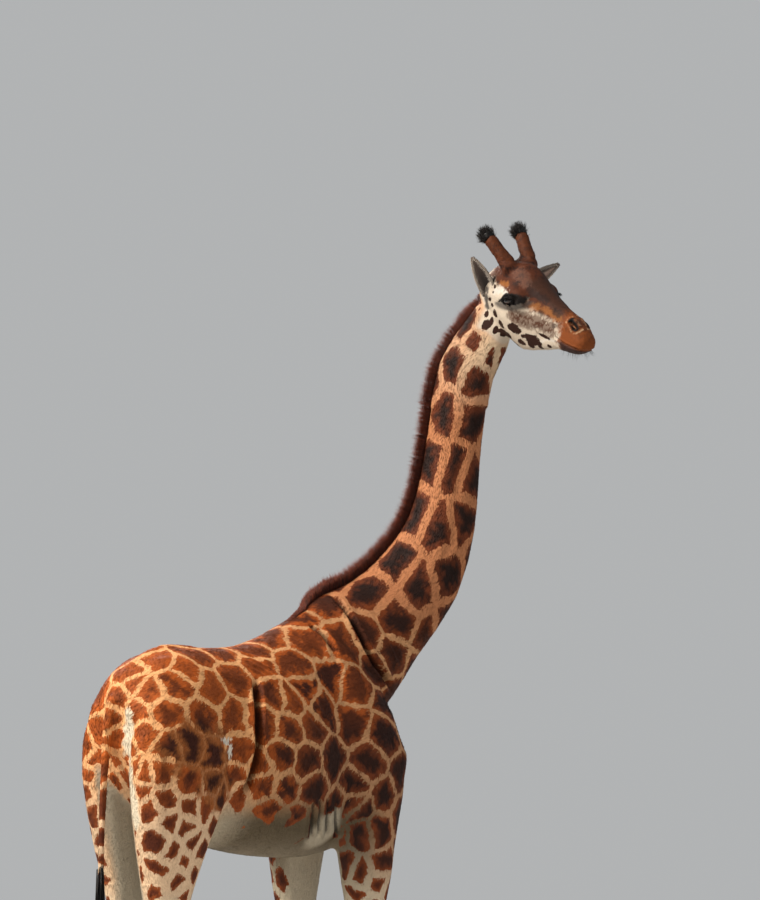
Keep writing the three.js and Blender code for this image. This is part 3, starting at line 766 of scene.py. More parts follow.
def body_looks(points, normals):
    """Patch depth, ground colour and patch colour as if no place were on the face."""
    depth, which = patch_depth(points)
    head, neck, leg = zones(points)
    x, y, z = points.T
    tone = np.random.default_rng(11).uniform(-1, 1, (len(spots), 2))[which]

    # How wide the pale lines are, where patches run together, and where none is left
    thigh = smooth(2100, 1700, z) * smooth(20, 240, y)
    merged = (y > 180) * (x < 0) * np.maximum(
        bump_at(points, (-290, 470, 2080), (190, 205, 145)),
        bump_at(points, (-290, 350, 1930), (190, 140, 115)))
    merged = smooth(0.3, 0.6, merged * (1 + 0.3 * ripple(points, 70, 23)))
    under = smooth(-0.35, -0.85, normals[:, 2]) * smooth(1950, 1750, z) * (z > 1400)
    inner = smooth(0.25, 0.7, -np.sign(x) * normals[:, 0]) * smooth(2150, 1950, z) * (np.abs(x) < 260)
    axilla = bump_at(points, (-215, -395, 1745), (120, 105, 140))
    below_knee = smooth(1130, 930, z)
    bare = np.maximum.reduce([under, inner * (1 - neck), below_knee, smooth(0.3, 0.7, axilla)])
    jaw_side = smooth(0.1, 0.8, normals @ HEAD_AXES[0])
    half = 11.5 + 8 * neck + 5 * thigh + 11 * leg - 6 * merged + 90 * bare + 400 * head
    half += neck * smooth(3950, 4060, z) * (42 * jaw_side - 9)
    inside = depth - half

    # Painted shade: the pale lines and the patches' middles darken toward the front of the barrel and low on
    # it.
    front = np.clip(smooth(250, -450, y) * 0.6 + smooth(2300, 1900, z) * 0.5 * (y < 80), 0, 1)
    ground = painted(
        HAIR["line_body"], ("line_shade", 0.8 * front), ("line_neck", neck),
        # Painted shade under the barrel: the belly's cream hair is painted dark brown-grey.
        ("belly", smooth(1930, 1760, z) * smooth(330, 190, y) * smooth(-720, -560, y)),
        ("stocking", np.maximum(leg, 0.55 * thigh * (1 - inner))),
        # Painted shade in the pit behind the elbow: it takes the greyer inner-leg colour.
        ("inner_leg", inner * smooth(900, 1200, z)), ("inner_leg", smooth(0.25, 0.6, axilla)),
        ("throat", neck * smooth(3600, 4000, z) * (0.45 + 0.55 * jaw_side)), ("fuzzy", 0.85 * merged))

    # Patches darken from the rim inward: in clouds on the body, evenly on neck and legs. Toward the front of
    # the barrel, low on it and on the chest they are painted darker still, as painted shade; the neck's
    # darker patches are their own colour.
    cloud = 16 * ripple(points, 65, 21) + 9 * ripple(points, 24, 22)
    darker = np.clip(0.55 + 0.5 * front + 0.22 * tone[:, 0], 0, 1)
    patch = painted(HAIR["rim_body"], ("core_body", smooth(3, 46 - 14 * front, inside + cloud) * darker))
    low_front_shade = 0.85 * smooth(150, -250, y) * smooth(2380, 2080, z)
    shade = np.maximum.reduce([neck, smooth(-480, -720, y) * 0.75 * (z > 1500), low_front_shade])
    dark = painted(HAIR["rim_neck"], ("core_neck", smooth(0, 44, inside + 10 * ripple(points, 40, 24))))
    patch = mixed(patch, dark, shade)
    fuzzy = painted(HAIR["rim_leg"], ("core_leg", smooth(0, 24, inside)))
    patch = mixed(patch, fuzzy, np.maximum(leg, thigh) * (1 - merged))
    cloud = 12 * ripple(points, 60, 25) + 6 * ripple(points, 26, 26)
    patch = mixed(patch, painted(HAIR["fuzzy"], ("core_body", smooth(0, 40, inside + cloud))), merged)
    patch *= 1 + 0.14 * tone[:, 1:2]

    # Painted shade: hair and hide darkened down in the deep creases
    crease_shade = np.zeros(len(points))
    for line, reach in creases:
        gap, share = distance_to(line, points)
        ends = smooth(0, 0.1, share) * smooth(1, 0.8, share)
        crease_shade = np.maximum(crease_shade, smooth(1.15 * reach, 0.6 * reach, gap) * ends)
    ground, patch = (base * (1 - 0.7 * crease_shade[:, None]) for base in (ground, patch))

    # An old pale scar where the thigh meets the flank, and a pale edge down the right buttock
    scar = np.maximum(bump_at(points, (-286, 290, 2128), (60, 38, 20)),
                      bump_at(points, (-280, 262, 2085), (60, 17, 40)))
    scar = smooth(0.4, 0.55, scar * (1 + 0.5 * ripple(points, 22, 27)))
    edge = distance_to([(-100, 705, 2240), (-82, 706, 2105), (-128, 722, 1931), (-160, 717, 1767)], points)[0]
    edge = smooth(38, 18, edge + 8 * ripple(points, 60, 28))
    return inside - 60 * scar - 50 * edge, painted(ground, ("scar", scar), ("stocking", edge)), patch


# Spots of the cheek: along, up and out, and how far each reaches along and up.
CHEEK_SPOTS = [
    (47, 79, 81, 9, 10), (92, 90, 92, 8, 12), (126, 90, 99, 8, 7), (117, 63, 102, 10, 11),
    (117, 35, 105, 6, 6), (108, -4, 103, 9, 9), (127, -25, 104, 11, 10), (152, -59, 100, 17, 20),
    (93, -86, 97, 13, 18), (131, -112, 95, 11, 30), (160, -142, 92, 10, 20), (112, -134, 106, 20, 26),
    (200, -93, 92, 24, 18), (291, -76, 95, 44, 26), (212, -142, 74, 44, 24), (264, -176, 50, 34, 14),
    (402, -92, 66, 50, 27), (385, -124, 55, 22, 17), (329, -134, 63, 24, 15), (445, -114, 50, 16, 9),
    (500, -84, 50, 14, 9), (470, -46, 64, 34, 9), (245, -128, 80, 16, 12), (342, -98, 80, 12, 10)]
# Brush strokes of colour on the face, the same on both sides: a line, how wide, how full.
FACE_STROKES = [
    ("nose", [(330, 150, 30), (450, 125, 25), (620, 92, 10)], 44, 0.95),
    ("pink", [(225, 168, 60), (280, 150, 70)], 30, 0.25),
    ("tan", [(150, 92, 100), (200, 104, 104)], 13, 0.7),
    ("mottle", [(288, -16, 107), (335, -14, 97), (389, -4, 83), (450, 6, 69), (500, 4, 62)], 38, 1.0),
    ("tan", [(344, 66, 102), (388, 70, 80), (450, 72, 60), (530, 62, 52)], 19, 0.6),
    ("dark", [(340, 124, 76), (380, 118, 56), (420, 112, 44)], 19, 0.85),
    ("dark", [(497, 84, 48), (510, 80, 46)], 19, 0.75),
    ("dark", [(421, 58, 67), (428, 55, 66)], 14, 0.7),
    ("dark", [(516, 26, 60), (552, 38, 58)], 12, 0.6),
    ("grey", [(72, 26, 95), (78, -8, 96), (84, -48, 96)], 20, 0.9),
    ("forehead", [(40, 96, 76), (70, 118, 74), (101, 112, 86)], 20, 0.9),
    ("pale", [(128, 44, 106), (165, 66, 108), (232, 76, 130)], 15, 0.95),
    ("pale", [(429, -92, 58), (504, -50, 58), (575, -34, 60)], 8, 0.8)]


def looks(points, normals):
    """Each place's patch depth in millimetres, ground colour and patch colour."""
    inside, ground, patch = body_looks(points, normals)
    head = zones(points)[0]
    along, up, out = in_head(points).T

    # Face: pale, with a chestnut crown, a brown nose and muzzle, and spots on the cheek
    side = np.abs(out)
    face = np.stack([along, up, side], -1)
    wave = ripple(points, 34, 31) + 0.6 * ripple(points, 15, 32) + 0.5 * ripple(points, 7, 33)
    crown = head * np.maximum.reduce([
        smooth(72, 94, up + 9 * wave) * smooth(92, 116, along + 8 * wave) * (along < 360),
        smooth(104, 122, up + 6 * wave) * (along < 200),
        smooth(320, 360, along) * smooth(40, 62, up + 7 * wave)])
    mottled = smooth(-0.1, 1.0, wave + 0.5 * ripple(points, 60, 34))
    ground = painted(ground, ("face", head), ("forehead", crown),
                     ("dark", head * smooth(105, 130, up) * mottled * (along < 420) * 0.85))
    for name, line, width, full in FACE_STROKES:
        near = head * smooth(1.3, 0.6, distance_to(line, face)[0] / width + 0.3 * wave)
        if name == "mottle":
            near = near * (0.72 + 0.28 * smooth(-0.6, 0.3, wave))
        ground = mixed(ground, HAIR[name], full * near)
    muzzle = head * smooth(545, 590, along + 9 * wave + 0.2 * (up + 40))
    slit = distance_to(np.array(NOSTRIL) * (1, 1, 0), face * (1, 1, 0))[0] + 99 * (side < 10)
    ring = smooth(6, 0, np.abs(slit - 17 - 2 * wave)) * smooth(-1.4, 0.6, wave)
    # The nostrils' slits are painted near black, partly dark skin and partly painted shade down in the
    # openings.
    ground = painted(
        ground, ("muzzle", muzzle), ("dark", 0.55 * muzzle * smooth(-0.4, 1.0, wave) * smooth(0, 70, up)),
        ("dark", head * 0.8 * bump_at(face, (640, 90, 10), (38, 26, 22))),
        ("lip", head * smooth(560, 590, along) * smooth(-20, -30, up)),
        ("ring", head * ring * 0.7), ("lid", head * smooth(12, 7, slit)))
    cheek = np.full(len(points), -20.0)
    for s, t, n, wide, tall in CHEEK_SPOTS:
        away = np.hypot((along - s) / wide, (up - t) / tall) + (np.abs(side - n) > 60)
        cheek = np.maximum(cheek, (1 - away - 0.12 * wave) * min(wide, tall))
    inside = np.where(head > 0.5, 4 * cheek, inside)

    # Lids: bare dark skin round the eye, drawn out to both corners and reaching higher above it, where it is
    # partly the lashes' painted shadow, and grey below it
    lid = np.zeros(len(points))
    for way in (-1, 1):
        s, t, n = by_eye(points, way)
        tall = np.where(t > 2, 34, 25) * (1 - 0.6 * smooth(-10, -90, s))
        reach = np.hypot((s - 4) / 92, (t - 2) / tall) + 0.07 * wave
        lid = np.maximum(lid, smooth(1.1, 0.9, reach) * (n > -45) * (np.abs(s) < 120))
        grey = smooth(1.9, 1.4, np.hypot((s - 2) / 78, t / 28)) * smooth(0, -12, t) * (n > -45) * head
        ground = mixed(ground, HAIR["grey"], 0.85 * grey)

    # Horns: chestnut, clouded darker
    horn = smooth(196, 214, up) * (along < 190) * (head + (along > -90) * (up > 190) > 0)
    horn_hair = painted(HAIR["horn"], ("dark", 0.5 * smooth(0.2, 1, wave)))
    patch = mixed(patch, HAIR["spot_head"], head)
    ground, patch = (mixed(painted(base, ("lid", lid)), horn_hair, horn) for base in (ground, patch))
    return np.where(horn > 0.5, -20, inside), ground, patch


def wear(piece, points, normals, each=1, rng=None):
    """Gives a piece the markings of the places where it is rooted, with `each` points to a root."""
    inside, ground, patch = looks(points, normals)
    if rng is not None:
        inside = inside + rng.normal(size=len(points)) * 2.5
        shade = rng.uniform(0.86, 1.12, (len(points), 1))
        ground, patch = ground * shade, patch * shade
    layer_on(piece, "patch", np.repeat(inside, each))
    layer_on(piece, "ground", np.repeat(ground, each, 0), "FLOAT_COLOR")
    layer_on(piece, "spot", np.repeat(patch, each, 0), "FLOAT_COLOR")
    layer_on(piece, "lie", np.repeat(2.2 * normals, each, 0), "FLOAT_VECTOR")


# Short hair over hide: dull, with a ragged edge to every patch and a fine grain. Its shading follows
# the hide under it more than each hair, so that the coat looks sleek and not like bristle.
RAGGED, RAGGED_REACH = 10.5, 8.0  # mm: tufts along a patch's edge, and how far they stray over it
GRAIN = 2.4  # mm: much coarser than single hairs, which are too fine to show
hide, tree = material("short_coat_over_hide")
inside, ground, spot, lie_way = (
    add(tree, "Attribute", attribute_name=name) for name in ("patch", "ground", "spot", "lie"))
place_on = add(tree, "NewGeometry")
ragged = add(tree, "TexNoise", {"Vector": place_on, "Scale": 1000 / RAGGED, "Detail": 3.0})
edge = add(tree, "Math", {0: ragged, 1: 2 * RAGGED_REACH, 2: -RAGGED_REACH}, operation="MULTIPLY_ADD")
depth = add(tree, "Math", {0: inside.outputs["Fac"], 1: edge}, operation="ADD")
mask = add(tree, "MapRange", {"Value": depth, "From Min": -1.5, "From Max": 1.5},
           interpolation_type="SMOOTHSTEP")
hair = add(tree, "MixRGB", {"Fac": mask, "Color1": ground, "Color2": spot})
fine = add(tree, "TexNoise", {"Vector": place_on, "Scale": 1000 / GRAIN, "Detail": 2.0})
grain = add(tree, "MapRange",
            {"Value": fine, "From Min": 0.3, "From Max": 0.7, "To Min": 0.84, "To Max": 1.12})
lit = add(tree, "VectorMath", {0: hair, "Scale": grain}, operation="SCALE")
softened = add(tree, "VectorMath", {0: lie_way.outputs["Vector"], 1: place_on.outputs["Normal"]},
               operation="ADD")
facing = add(tree, "VectorMath", {0: softened}, operation="NORMALIZE")
fur = add(tree, "BsdfPrincipled",
          {"Base Color": lit, "Roughness": 0.7, "Specular IOR Level": 0.2, "Normal": facing})
add(tree, "OutputMaterial", {"Surface": fur})
normals = normals_of(flesh, faces)
skin_piece = mesh_of("skin", ORIGIN + flesh / 1000, faces, hide)
wear(skin_piece, flesh, normals)
set_on(skin_piece, "coat", *FLESH)

# ---- Eyes ----------------------------------------------------------------------------------------
# A wet ball with a raised clear cornea over a brown iris, whose wide pupil lies level. It is set
# behind the rims of the lids.

EYE_RINGS, EYE_SPOKES = 28, 48
CORNEA_WIDE, CORNEA_RISE = 0.62, 1.2  # radians from the axis, and millimetres over the ball
SINK = 0.5  # mm: so that the lids' rims lie over the ball
PUPIL_WIDE, PUPIL_TALL = 0.42, 0.20  # of the ball's radius


def rings_to_mesh(rings):
    """Points and triangles of a tube through rings of equal count, closed with a fan at each end."""
    rings = np.asarray(rings, float)
    tall, count = rings.shape[:2]
    points = list(rings.reshape(-1, 3))
    made = []
    for row in range(tall - 1):
        for k in range(count):
            a, b = row * count + k, row * count + (k + 1) % count
            c, d = b + count, a + count
            made += [(a, b, c), (a, c, d)]
    points.append(rings[0].mean(0))
    made += [(len(points) - 1, (k + 1) % count, k) for k in range(count)]
    points.append(rings[-1].mean(0))
    base = (tall - 1) * count
    made += [(len(points) - 1, base + k, base + (k + 1) % count) for k in range(count)]
    points, made = np.array(points), np.array(made)
    a, b, c = (points[made[:, k]] for k in range(3))
    volume = (a * np.cross(b, c)).sum()
    return points, made if volume > 0 else made[:, ::-1]


# Wet eye: a clear coat over all of it gives a sharp glint. Iris and pupil are drawn by the angle
# from the axis, kept in the piece as two layers.
FLECK = 1.7  # mm between the iris's flecks
eyeball, tree = material("wet_eye")
from_axis, from_slit = (add(tree, "Attribute", attribute_name=name) for name in ("from_axis", "from_slit"))
fleck = add(tree, "TexNoise", {"Scale": 1000 / FLECK, "Detail": 2.0})
iris = add(tree, "MixRGB", {"Fac": fleck, "Color1": linear("#2a150b"), "Color2": linear("#4a2814")})
limbus = add(tree, "MapRange", {"Value": from_axis.outputs["Fac"], "From Min": 0.56, "From Max": 0.66})
rimmed = add(tree, "MixRGB", {"Fac": limbus, "Color1": iris, "Color2": linear("#0d0806")})
slit = add(tree, "MapRange", {"Value": from_slit.outputs["Fac"], "From Min": 0.9, "From Max": 1.1})
pupil = add(tree, "MixRGB", {"Fac": slit, "Color1": linear("#050404"), "Color2": rimmed})
ball = add(tree, "BsdfPrincipled",
           {"Base Color": pupil, "Roughness": 0.08, "Coat Weight": 1.0, "Coat Roughness": 0.02})
add(tree, "OutputMaterial", {"Surface": ball})

for side, name in ((-1, "right"), (1, "left")):
    centre, axes = eye_frame(side)
    turn = np.arange(EYE_SPOKES) / EYE_SPOKES * 2 * math.pi
    rings = []
    for row in range(EYE_RINGS + 1):
        polar = math.pi * (0.004 + 0.992 * row / EYE_RINGS)
        rise = CORNEA_RISE * (1 - smooth(0, CORNEA_WIDE, polar))
        ring = np.stack([np.sin(polar) * np.cos(turn), np.sin(polar) * np.sin(turn),
                         np.cos(polar) + 0 * turn], -1)
        rings.append((EYE_RADIUS - SINK + rise) * ring)
    points, made = rings_to_mesh(rings)
    eye = mesh_of("eyeball_" + name, ORIGIN + (points @ axes + centre) / 1000, made, eyeball)
    s, t, n = unit(points).T
    layer_on(eye, "from_axis", np.arccos(np.clip(n, -1, 1)))
    layer_on(eye, "from_slit", np.hypot(s / PUPIL_WIDE, t / PUPIL_TALL) + (n < 0))
    set_on(eye, "eye", "eye_" + name)

# ---- Hooves --------------------------------------------------------------------------------------
# Two toes to a foot, of dark horn grown in rings, flat below and worn round at the tip. The hide's
# coronet swells over their top edge.

HOOF_LINES, HOOF_ROUND = 14, 26
RING_STEP = 7.0  # mm between growth rings
RING_SWAY = 12.0  # mm that a ring wanders up and down
SWAY_LONG = 33.0  # mm from wave to wave along a ring
RING_RISE = 0.8  # mm

# Hoof horn, grown and worn: brown rings with a low ridge each, and a soft sheen as of a dull nail.
hoof_horn, tree = material("hoof_horn")
where = add(tree, "NewGeometry")
part = add(tree, "SeparateXYZ", {"Vector": where})
sway = add(tree, "TexNoise", {"Vector": where, "Scale": 1000 / SWAY_LONG})
level = add(tree, "Math", {0: sway, 1: RING_SWAY / 1000, 2: part.outputs["Z"]}, operation="MULTIPLY_ADD")
turns = add(tree, "Math", {0: level, 1: 2 * math.pi / RING_STEP * 1000}, operation="MULTIPLY")
rings_of = add(tree, "Math", {0: turns}, operation="SINE")
tint = add(tree, "MapRange", {"Value": rings_of, "From Min": -1.0, "From Max": 1.0})
horn = add(tree, "MixRGB", {"Fac": tint, "Color1": linear("#2b2019"), "Color2": linear("#453427")})
ridge = add(tree, "Bump", {"Height": rings_of, "Distance": RING_RISE / 1000, "Strength": 0.7})
keratin = add(tree, "BsdfPrincipled", {"Base Color": horn, "Roughness": 0.45, "Normal": ridge})
add(tree, "OutputMaterial", {"Surface": keratin})


def toe_mesh(low, high, outward):
    """A toe inside the box of its solid: round outside, flat toward its fellow, sloped in front."""
    inner = low[0] if outward > 0 else high[0]
    wide, deep, tall = (high - low)[0], (high - low)[1], (high - low)[2]
    rings = []
    for row in range(HOOF_LINES + 1):
        share = row / HOOF_LINES
        size = 1 - 0.2 * share ** 1.3 - 0.035 * (1 - min(1, share / 0.06))
        front = low[1] + deep * (0.165 * share + 0.02 * (1 - min(1, share / 0.08)))
        back = high[1] - deep * (0.09 * share ** 2)
        half_long, mid = (back - front) / 2, (back + front) / 2
        turn = (np.arange(HOOF_ROUND) + 0.5) / HOOF_ROUND * 2 * math.pi
        bulge = np.maximum(np.cos(turn), 0) ** 0.75 * wide * size
        bulge = np.where(np.cos(turn) > 0, bulge, 0.03 * wide * np.cos(turn) ** 2)
        rings.append(np.stack([inner + outward * bulge, mid + half_long * np.sin(turn),
                               np.full(HOOF_ROUND, low[2] + tall * share)], -1))
    return rings_to_mesh(rings)


for leg_name in ("fore_right", "fore_left", "hind_right", "hind_left"):
    for toe_name in ("outer", "inner"):
        foot = "%s_%s" % (leg_name, toe_name)
        outward = (1 if leg_name.endswith("left") else -1) * (1 if toe_name == "outer" else -1)
        low, high = (np.array(v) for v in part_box("hoof_" + foot))
        hoof = mesh_of("toe_" + foot, *toe_mesh(low, high, outward), hoof_horn)
        set_on(hoof, "hoof_horn", "hoof_" + foot)

# ---- Short coat ----------------------------------------------------------------------------------
# Short flat hair in small overlapping tufts, each a closed sliver rooted in the hide, that lie
# from nose to tail and down the legs. They wear the colour of the place where they are rooted.
# Single hairs are too fine to show, so each tuft stands for a lock of them.

SLIVER = 0.003  # width of each tuft's patch on the map for baking
BODY_HAIR, LEG_HAIR, FOOT_HAIR = 20, 14, 10  # mm


def tuft_mesh(roots, normals, lie, long, wide, rise, droop=0.0, sections=1, thick=0.35):
    """Closed three-sided tufts: points, triangles, and each point's place across its own patch."""
    count = len(roots)
    side = np.cross(normals, lie)
    long, wide = np.broadcast_to(long, count)[:, None], np.broadcast_to(wide, count)[:, None]
    rise = np.broadcast_to(rise, count)[:, None]
    layers, patch = [], []
    for k in range(sections):
        share = k / sections
        climb = share - droop * share ** 2
        path = roots + long * (share * np.cos(rise) * lie + np.sin(rise) * climb * normals)
        half = wide / 2 * (1 - share) ** 0.6
        layers += [path + half * side, path + 2 * thick * half * normals, path - half * side]
        patch += [(0, 0.6 * share), (0.5, 0.25 + 0.6 * share), (1, 0.6 * share)]
    tip = roots + long * (np.cos(rise) * lie + np.sin(rise) * (1 - droop) * normals)
    layers.append(tip)
    patch.append((0.5, 1.0))
    made = [(0, 2, 1)]
    for k in range(sections - 1):
        for j in range(3):
            a, b = 3 * k + j, 3 * k + (j + 1) % 3
            made += [(a, b, b + 3), (a, b + 3, a + 3)]
    last = 3 * (sections - 1)
    made += [(last + j, last + (j + 1) % 3, 3 * sections) for j in range(3)]
    each = 3 * sections + 1
    points = np.stack(layers, 1).reshape(-1, 3)
    triangles = (np.array(made)[None] + each * np.arange(count)[:, None, None]).reshape(-1, 3)
    a, b, c = (points[triangles[:len(made), k]] - points[0] for k in range(3))
    if (a * np.cross(b, c)).sum() < 0:
        triangles = triangles[:, ::-1]
    return points, triangles, np.tile(np.array(patch), (count, 1)), each


def bake_map(piece, chart, patch, each):
    """The map for baking: each tuft is a small patch at its root's place on the chart of the hide."""
    chart = np.asarray(chart, float)
    low, high = chart.min(0), chart.max(0)
    at_root = 0.01 + 0.975 * (chart - low) / np.maximum(high - low, 1e-9)  # off the map's edges
    corners = np.repeat(at_root, each, 0) + patch * SLIVER
    loops = np.empty(len(piece.data.loops), np.int32)
    piece.data.loops.foreach_get("vertex_index", loops)
    piece.data.uv_layers.new(name="OFBake").data.foreach_set("uv", corners[loops].astype(np.float32).ravel())


def scatter(density, chosen, rng):
    """Places over the chosen faces, so many to the square millimetre, with their normals."""
    corners = flesh[faces]
    area = np.linalg.norm(np.cross(corners[:, 1] - corners[:, 0], corners[:, 2] - corners[:, 0]), axis=1) / 2
    running = np.cumsum(area * density * chosen)
    count = int(running[-1])
    picked = np.searchsorted(running, (np.arange(count) + rng.uniform(size=count)) / count * running[-1])
    picked = np.minimum(picked, len(faces) - 1)
    a, b = rng.uniform(size=(2, count, 1))
    over = a + b > 1
    a, b = np.where(over, 1 - a, a), np.where(over, 1 - b, b)
    shares = np.concatenate([1 - a - b, a, b], 1)[..., None]
    return (corners[picked] * shares).sum(1), unit((normals[faces[picked]] * shares).sum(1))


def lie_of(points, normals, rng, stray=0.12):
    """The way the hair lies along the skin: back and down her body, down the neck and legs, toward
    the lips on the face, down the cheek and up the horns."""
    head, neck, _ = zones(points)
    forward, crown, _ = HEAD_AXES
    along, up, _ = in_head(points).T
    low = np.stack([np.interp(points[:, 2], NECK_LINE[:, 2], np.gradient(NECK_LINE[:, k], NECK_LINE[:, 2]))
                    for k in (0, 1)], -1)
    down_neck = -unit(np.column_stack([low, np.ones(len(points))]))
    back = unit(np.array([0.0, 1.0, -0.42]))
    down = unit(np.array([0.0, 0.22, -1.0]))
    haunch = smooth(2350, 1800, points[:, 2])[:, None]
    way = back + (down - back) * haunch
    way = way + (down_neck - way) * neck[:, None]
    face = forward + (-0.35 * forward - crown - forward) * smooth(60, -20, up)[:, None]
    face = np.where(((up > 205) & (along < 200))[:, None], crown - 0.3 * forward, face)
    way = way + (face - way) * np.maximum(head, (up > 190) & (along < 0) & (along > -120))[:, None]
    tail = (points[:, 1] > 735) | ((np.abs(points[:, 0]) < 45) & (points[:, 1] > 690))
    way = np.where(tail[:, None], [0.0, 0.0, -1.0], way)
    way = way + 0.3 * np.stack([ripple(points, 150, 40 + k) for k in range(3)], -1)
    way = way + stray * rng.normal(size=way.shape)
    way = way - (way * normals).sum(1)[:, None] * normals
    return unit(way)


def hair_length(points):
    """Length of the hair: longest on the body, shorter down the legs, shortest round the eyes."""
    head, _, leg = zones(points)
    along, up, _ = in_head(points).T
    long = BODY_HAIR + (LEG_HAIR - BODY_HAIR) * np.maximum(leg, smooth(1950, 1800, points[:, 2]))
    long = np.where(points[:, 2] < 420, FOOT_HAIR, long)
    on_face = 8.5 - 3 * smooth(420, 640, along) + 4 * smooth(190, 230, up) * (along < 200)
    near_lid = np.maximum.reduce([bump_at(points, eye_frame(way)[0], 62) for way in (-1, 1)])
    return long + (on_face - 3 * near_lid - long) * head


centres = flesh[faces].mean(1)
head_share, neck_share, _ = zones(centres)
face_normals = unit(normals[faces].sum(1))
inward = -np.sign(centres[:, 0]) * face_normals[:, 0] > 0.15
hind = centres[:, 1] > MIDLENGTH
on_leg = (centres[:, 2] < 1700) | (inward & (centres[:, 2] < 2150) & (np.abs(centres[:, 0]) < 270))
on_leg &= (np.abs(centres[:, 0]) > 20) & (centres[:, 1] < 745)
eyes = np.zeros(len(centres), bool)
for way in (-1, 1):
    s, t, n = by_eye(centres, way)
    eyes |= (np.abs(s) < EYE_LONG + 5) & (np.abs(t) < EYE_UPPER + 3) & (n > 0)


# Charts for baking: places by their turn round a part and by how far along it they lie.
def round_trunk(points):
    return np.stack([np.arctan2(points[:, 0], points[:, 2] - 2100), points[:, 1]], -1)


def round_neck(points):
    centre, nape, right = neck_at(points[:, 2])
    from_middle = points - centre
    return np.stack([np.arctan2((from_middle * right).sum(1), (from_middle * nape).sum(1)), points[:, 2]], -1)


def round_head(points):
    along, up, out = in_head(points).T
    return np.stack([np.arctan2(out, up), along], -1)


def round_leg(points):
    middle = points[:, :2].mean(0)
    return np.stack([np.arctan2(points[:, 1] - middle[1], points[:, 0] - middle[0]), points[:, 2]], -1)


on_head_faces = head_share > 0.5
on_neck_faces = (neck_share > 0.5) & ~on_head_faces
on_trunk = ~(on_head_faces | on_neck_faces | on_leg)
SHOULDERS_TO, BARREL_TO = -350, 180
COATS = [
    ("coat_head", on_head_faces & ~eyes, round_head),
    ("coat_neck", on_neck_faces, round_neck),
    ("coat_shoulders", on_trunk & (centres[:, 1] < SHOULDERS_TO), round_trunk),
    ("coat_barrel", on_trunk & (centres[:, 1] >= SHOULDERS_TO) & (centres[:, 1] < BARREL_TO), round_trunk),
    ("coat_haunches", on_trunk & (centres[:, 1] >= BARREL_TO), round_trunk)]
for leg_name, is_this in (("foreleg", ~hind), ("hindleg", hind)):
    for side, name in ((-1, "right"), (1, "left")):
        chosen = on_leg & is_this & (side * centres[:, 0] > 0)
        COATS.append(("coat_%s_%s" % (leg_name, name), chosen, round_leg))
CLOSENESS, TUFT_WIDE = 0.47, 0.24  # gap from tuft to tuft, and width, as shares of its length
ROOT_DEEP = 0.6  # mm under the hide
near_length = hair_length(centres)
rng = np.random.default_rng(3)
for name, chosen, chart in COATS:
    roots, root_normals = scatter((CLOSENESS * near_length) ** -2, chosen, rng)
    long = hair_length(roots) * rng.uniform(0.75, 1.25, len(roots))
    lie = lie_of(roots, root_normals, rng)
    rise = rng.uniform(0.06, 0.17, len(roots))
    points, triangles, patch, each = tuft_mesh(
        roots - root_normals * ROOT_DEEP, root_normals, lie, long, long * TUFT_WIDE, rise, thick=0.2)
    coat = mesh_of(name, ORIGIN + points / 1000, triangles, hide)
    wear(coat, roots, root_normals, each, rng)
    bake_map(coat, chart(roots), patch, each)
    set_on(coat, "coat")

# ---- Mane ----------------------------------------------------------------------------------------
# A stiff upright fringe of chestnut bristles, rooted from the withers up the nape to the poll. The
# bristles are short at both ends, dark at the root and redder toward the tip; the dark at the root is
# partly their own colour and partly painted shade down in the fringe.

MANE_LINE = [
    (2, -385, 2689), (2, -430, 2711), (10, -480, 2736), (36, -540, 2762), (52, -620, 2803), (57, -700, 2831),
    (50, -780, 2860), (38, -850, 2893), (20, -910, 2935), (-9, -1042, 3050), (-51, -1111, 3160),
    (-75, -1154, 3280), (-93, -1179, 3400), (-105, -1196, 3520), (-116, -1211, 3640), (-127, -1229, 3760),
    (-147, -1245, 3880), (-177, -1279, 3980), (-226, -1316, 4070), (-290, -1342, 4150), (-338, -1345, 4222)]
MANE_LOCKS, MANE_LONG, MANE_HALF = 11500, 74, 18
BRISTLE_WIDE, BRISTLE_DEEP = 4.6, 6  # mm: a lock's width, and how far its root lies under the hide
EVENED = 301  # locks over which the way that the mane stands is evened out


def along_line(line, shares):
    """Places at shares of a line's length, and the line's direction there."""
    line = np.asarray(line, float)
    steps = np.concatenate([[0], np.cumsum(np.linalg.norm(np.diff(line, axis=0), axis=1))])
    where = shares * steps[-1]
    found, ahead, behind = (np.stack([np.interp(where + step, steps, line[:, k]) for k in range(3)], -1)
                            for step in (0, 30, -30))
    return found, unit(ahead - behind)


def rooted(spots):
    """The nearest places on the hide, and the hide's normals there."""
    found = [hide_tree.find_nearest(Vector(spot)) for spot in spots]
    return np.array([tuple(hit[0]) for hit in found]), np.array([tuple(hit[1]) for hit in found])


def hair_material(name, dark, light, roughness):
    """Coarse hair: each lock mixes two colours by its own tint, stored in the piece."""
    made, tree = material(name)
    tint = add(tree, "Attribute", attribute_name="tint")
    shade = add(tree, "MixRGB", {"Fac": tint.outputs["Fac"], "Color1": linear(dark), "Color2": linear(light)})
    lock = add(tree, "BsdfPrincipled",
               {"Base Color": shade, "Roughness": roughness, "Specular IOR Level": 0.3})
    add(tree, "OutputMaterial", {"Surface": lock})
    return made


def locks(name, finish, roots, away, along, long, wide, tint, chart, **shape):
    """A piece of closed locks that grow along `away`, each with its own tint, darkened toward its root as
    painted shade.
    """
    across = unit(np.cross(away, along))
    points, made, patch, each = tuft_mesh(roots, unit(np.cross(across, away)), away, long, wide, **shape)
    piece = mesh_of(name, ORIGIN + points / 1000, made, finish)
    layer_on(piece, "tint", np.repeat(tint, each) * (0.35 + 0.65 * patch[:, 1]))
    bake_map(piece, np.stack(chart, -1), patch, each)
    return piece
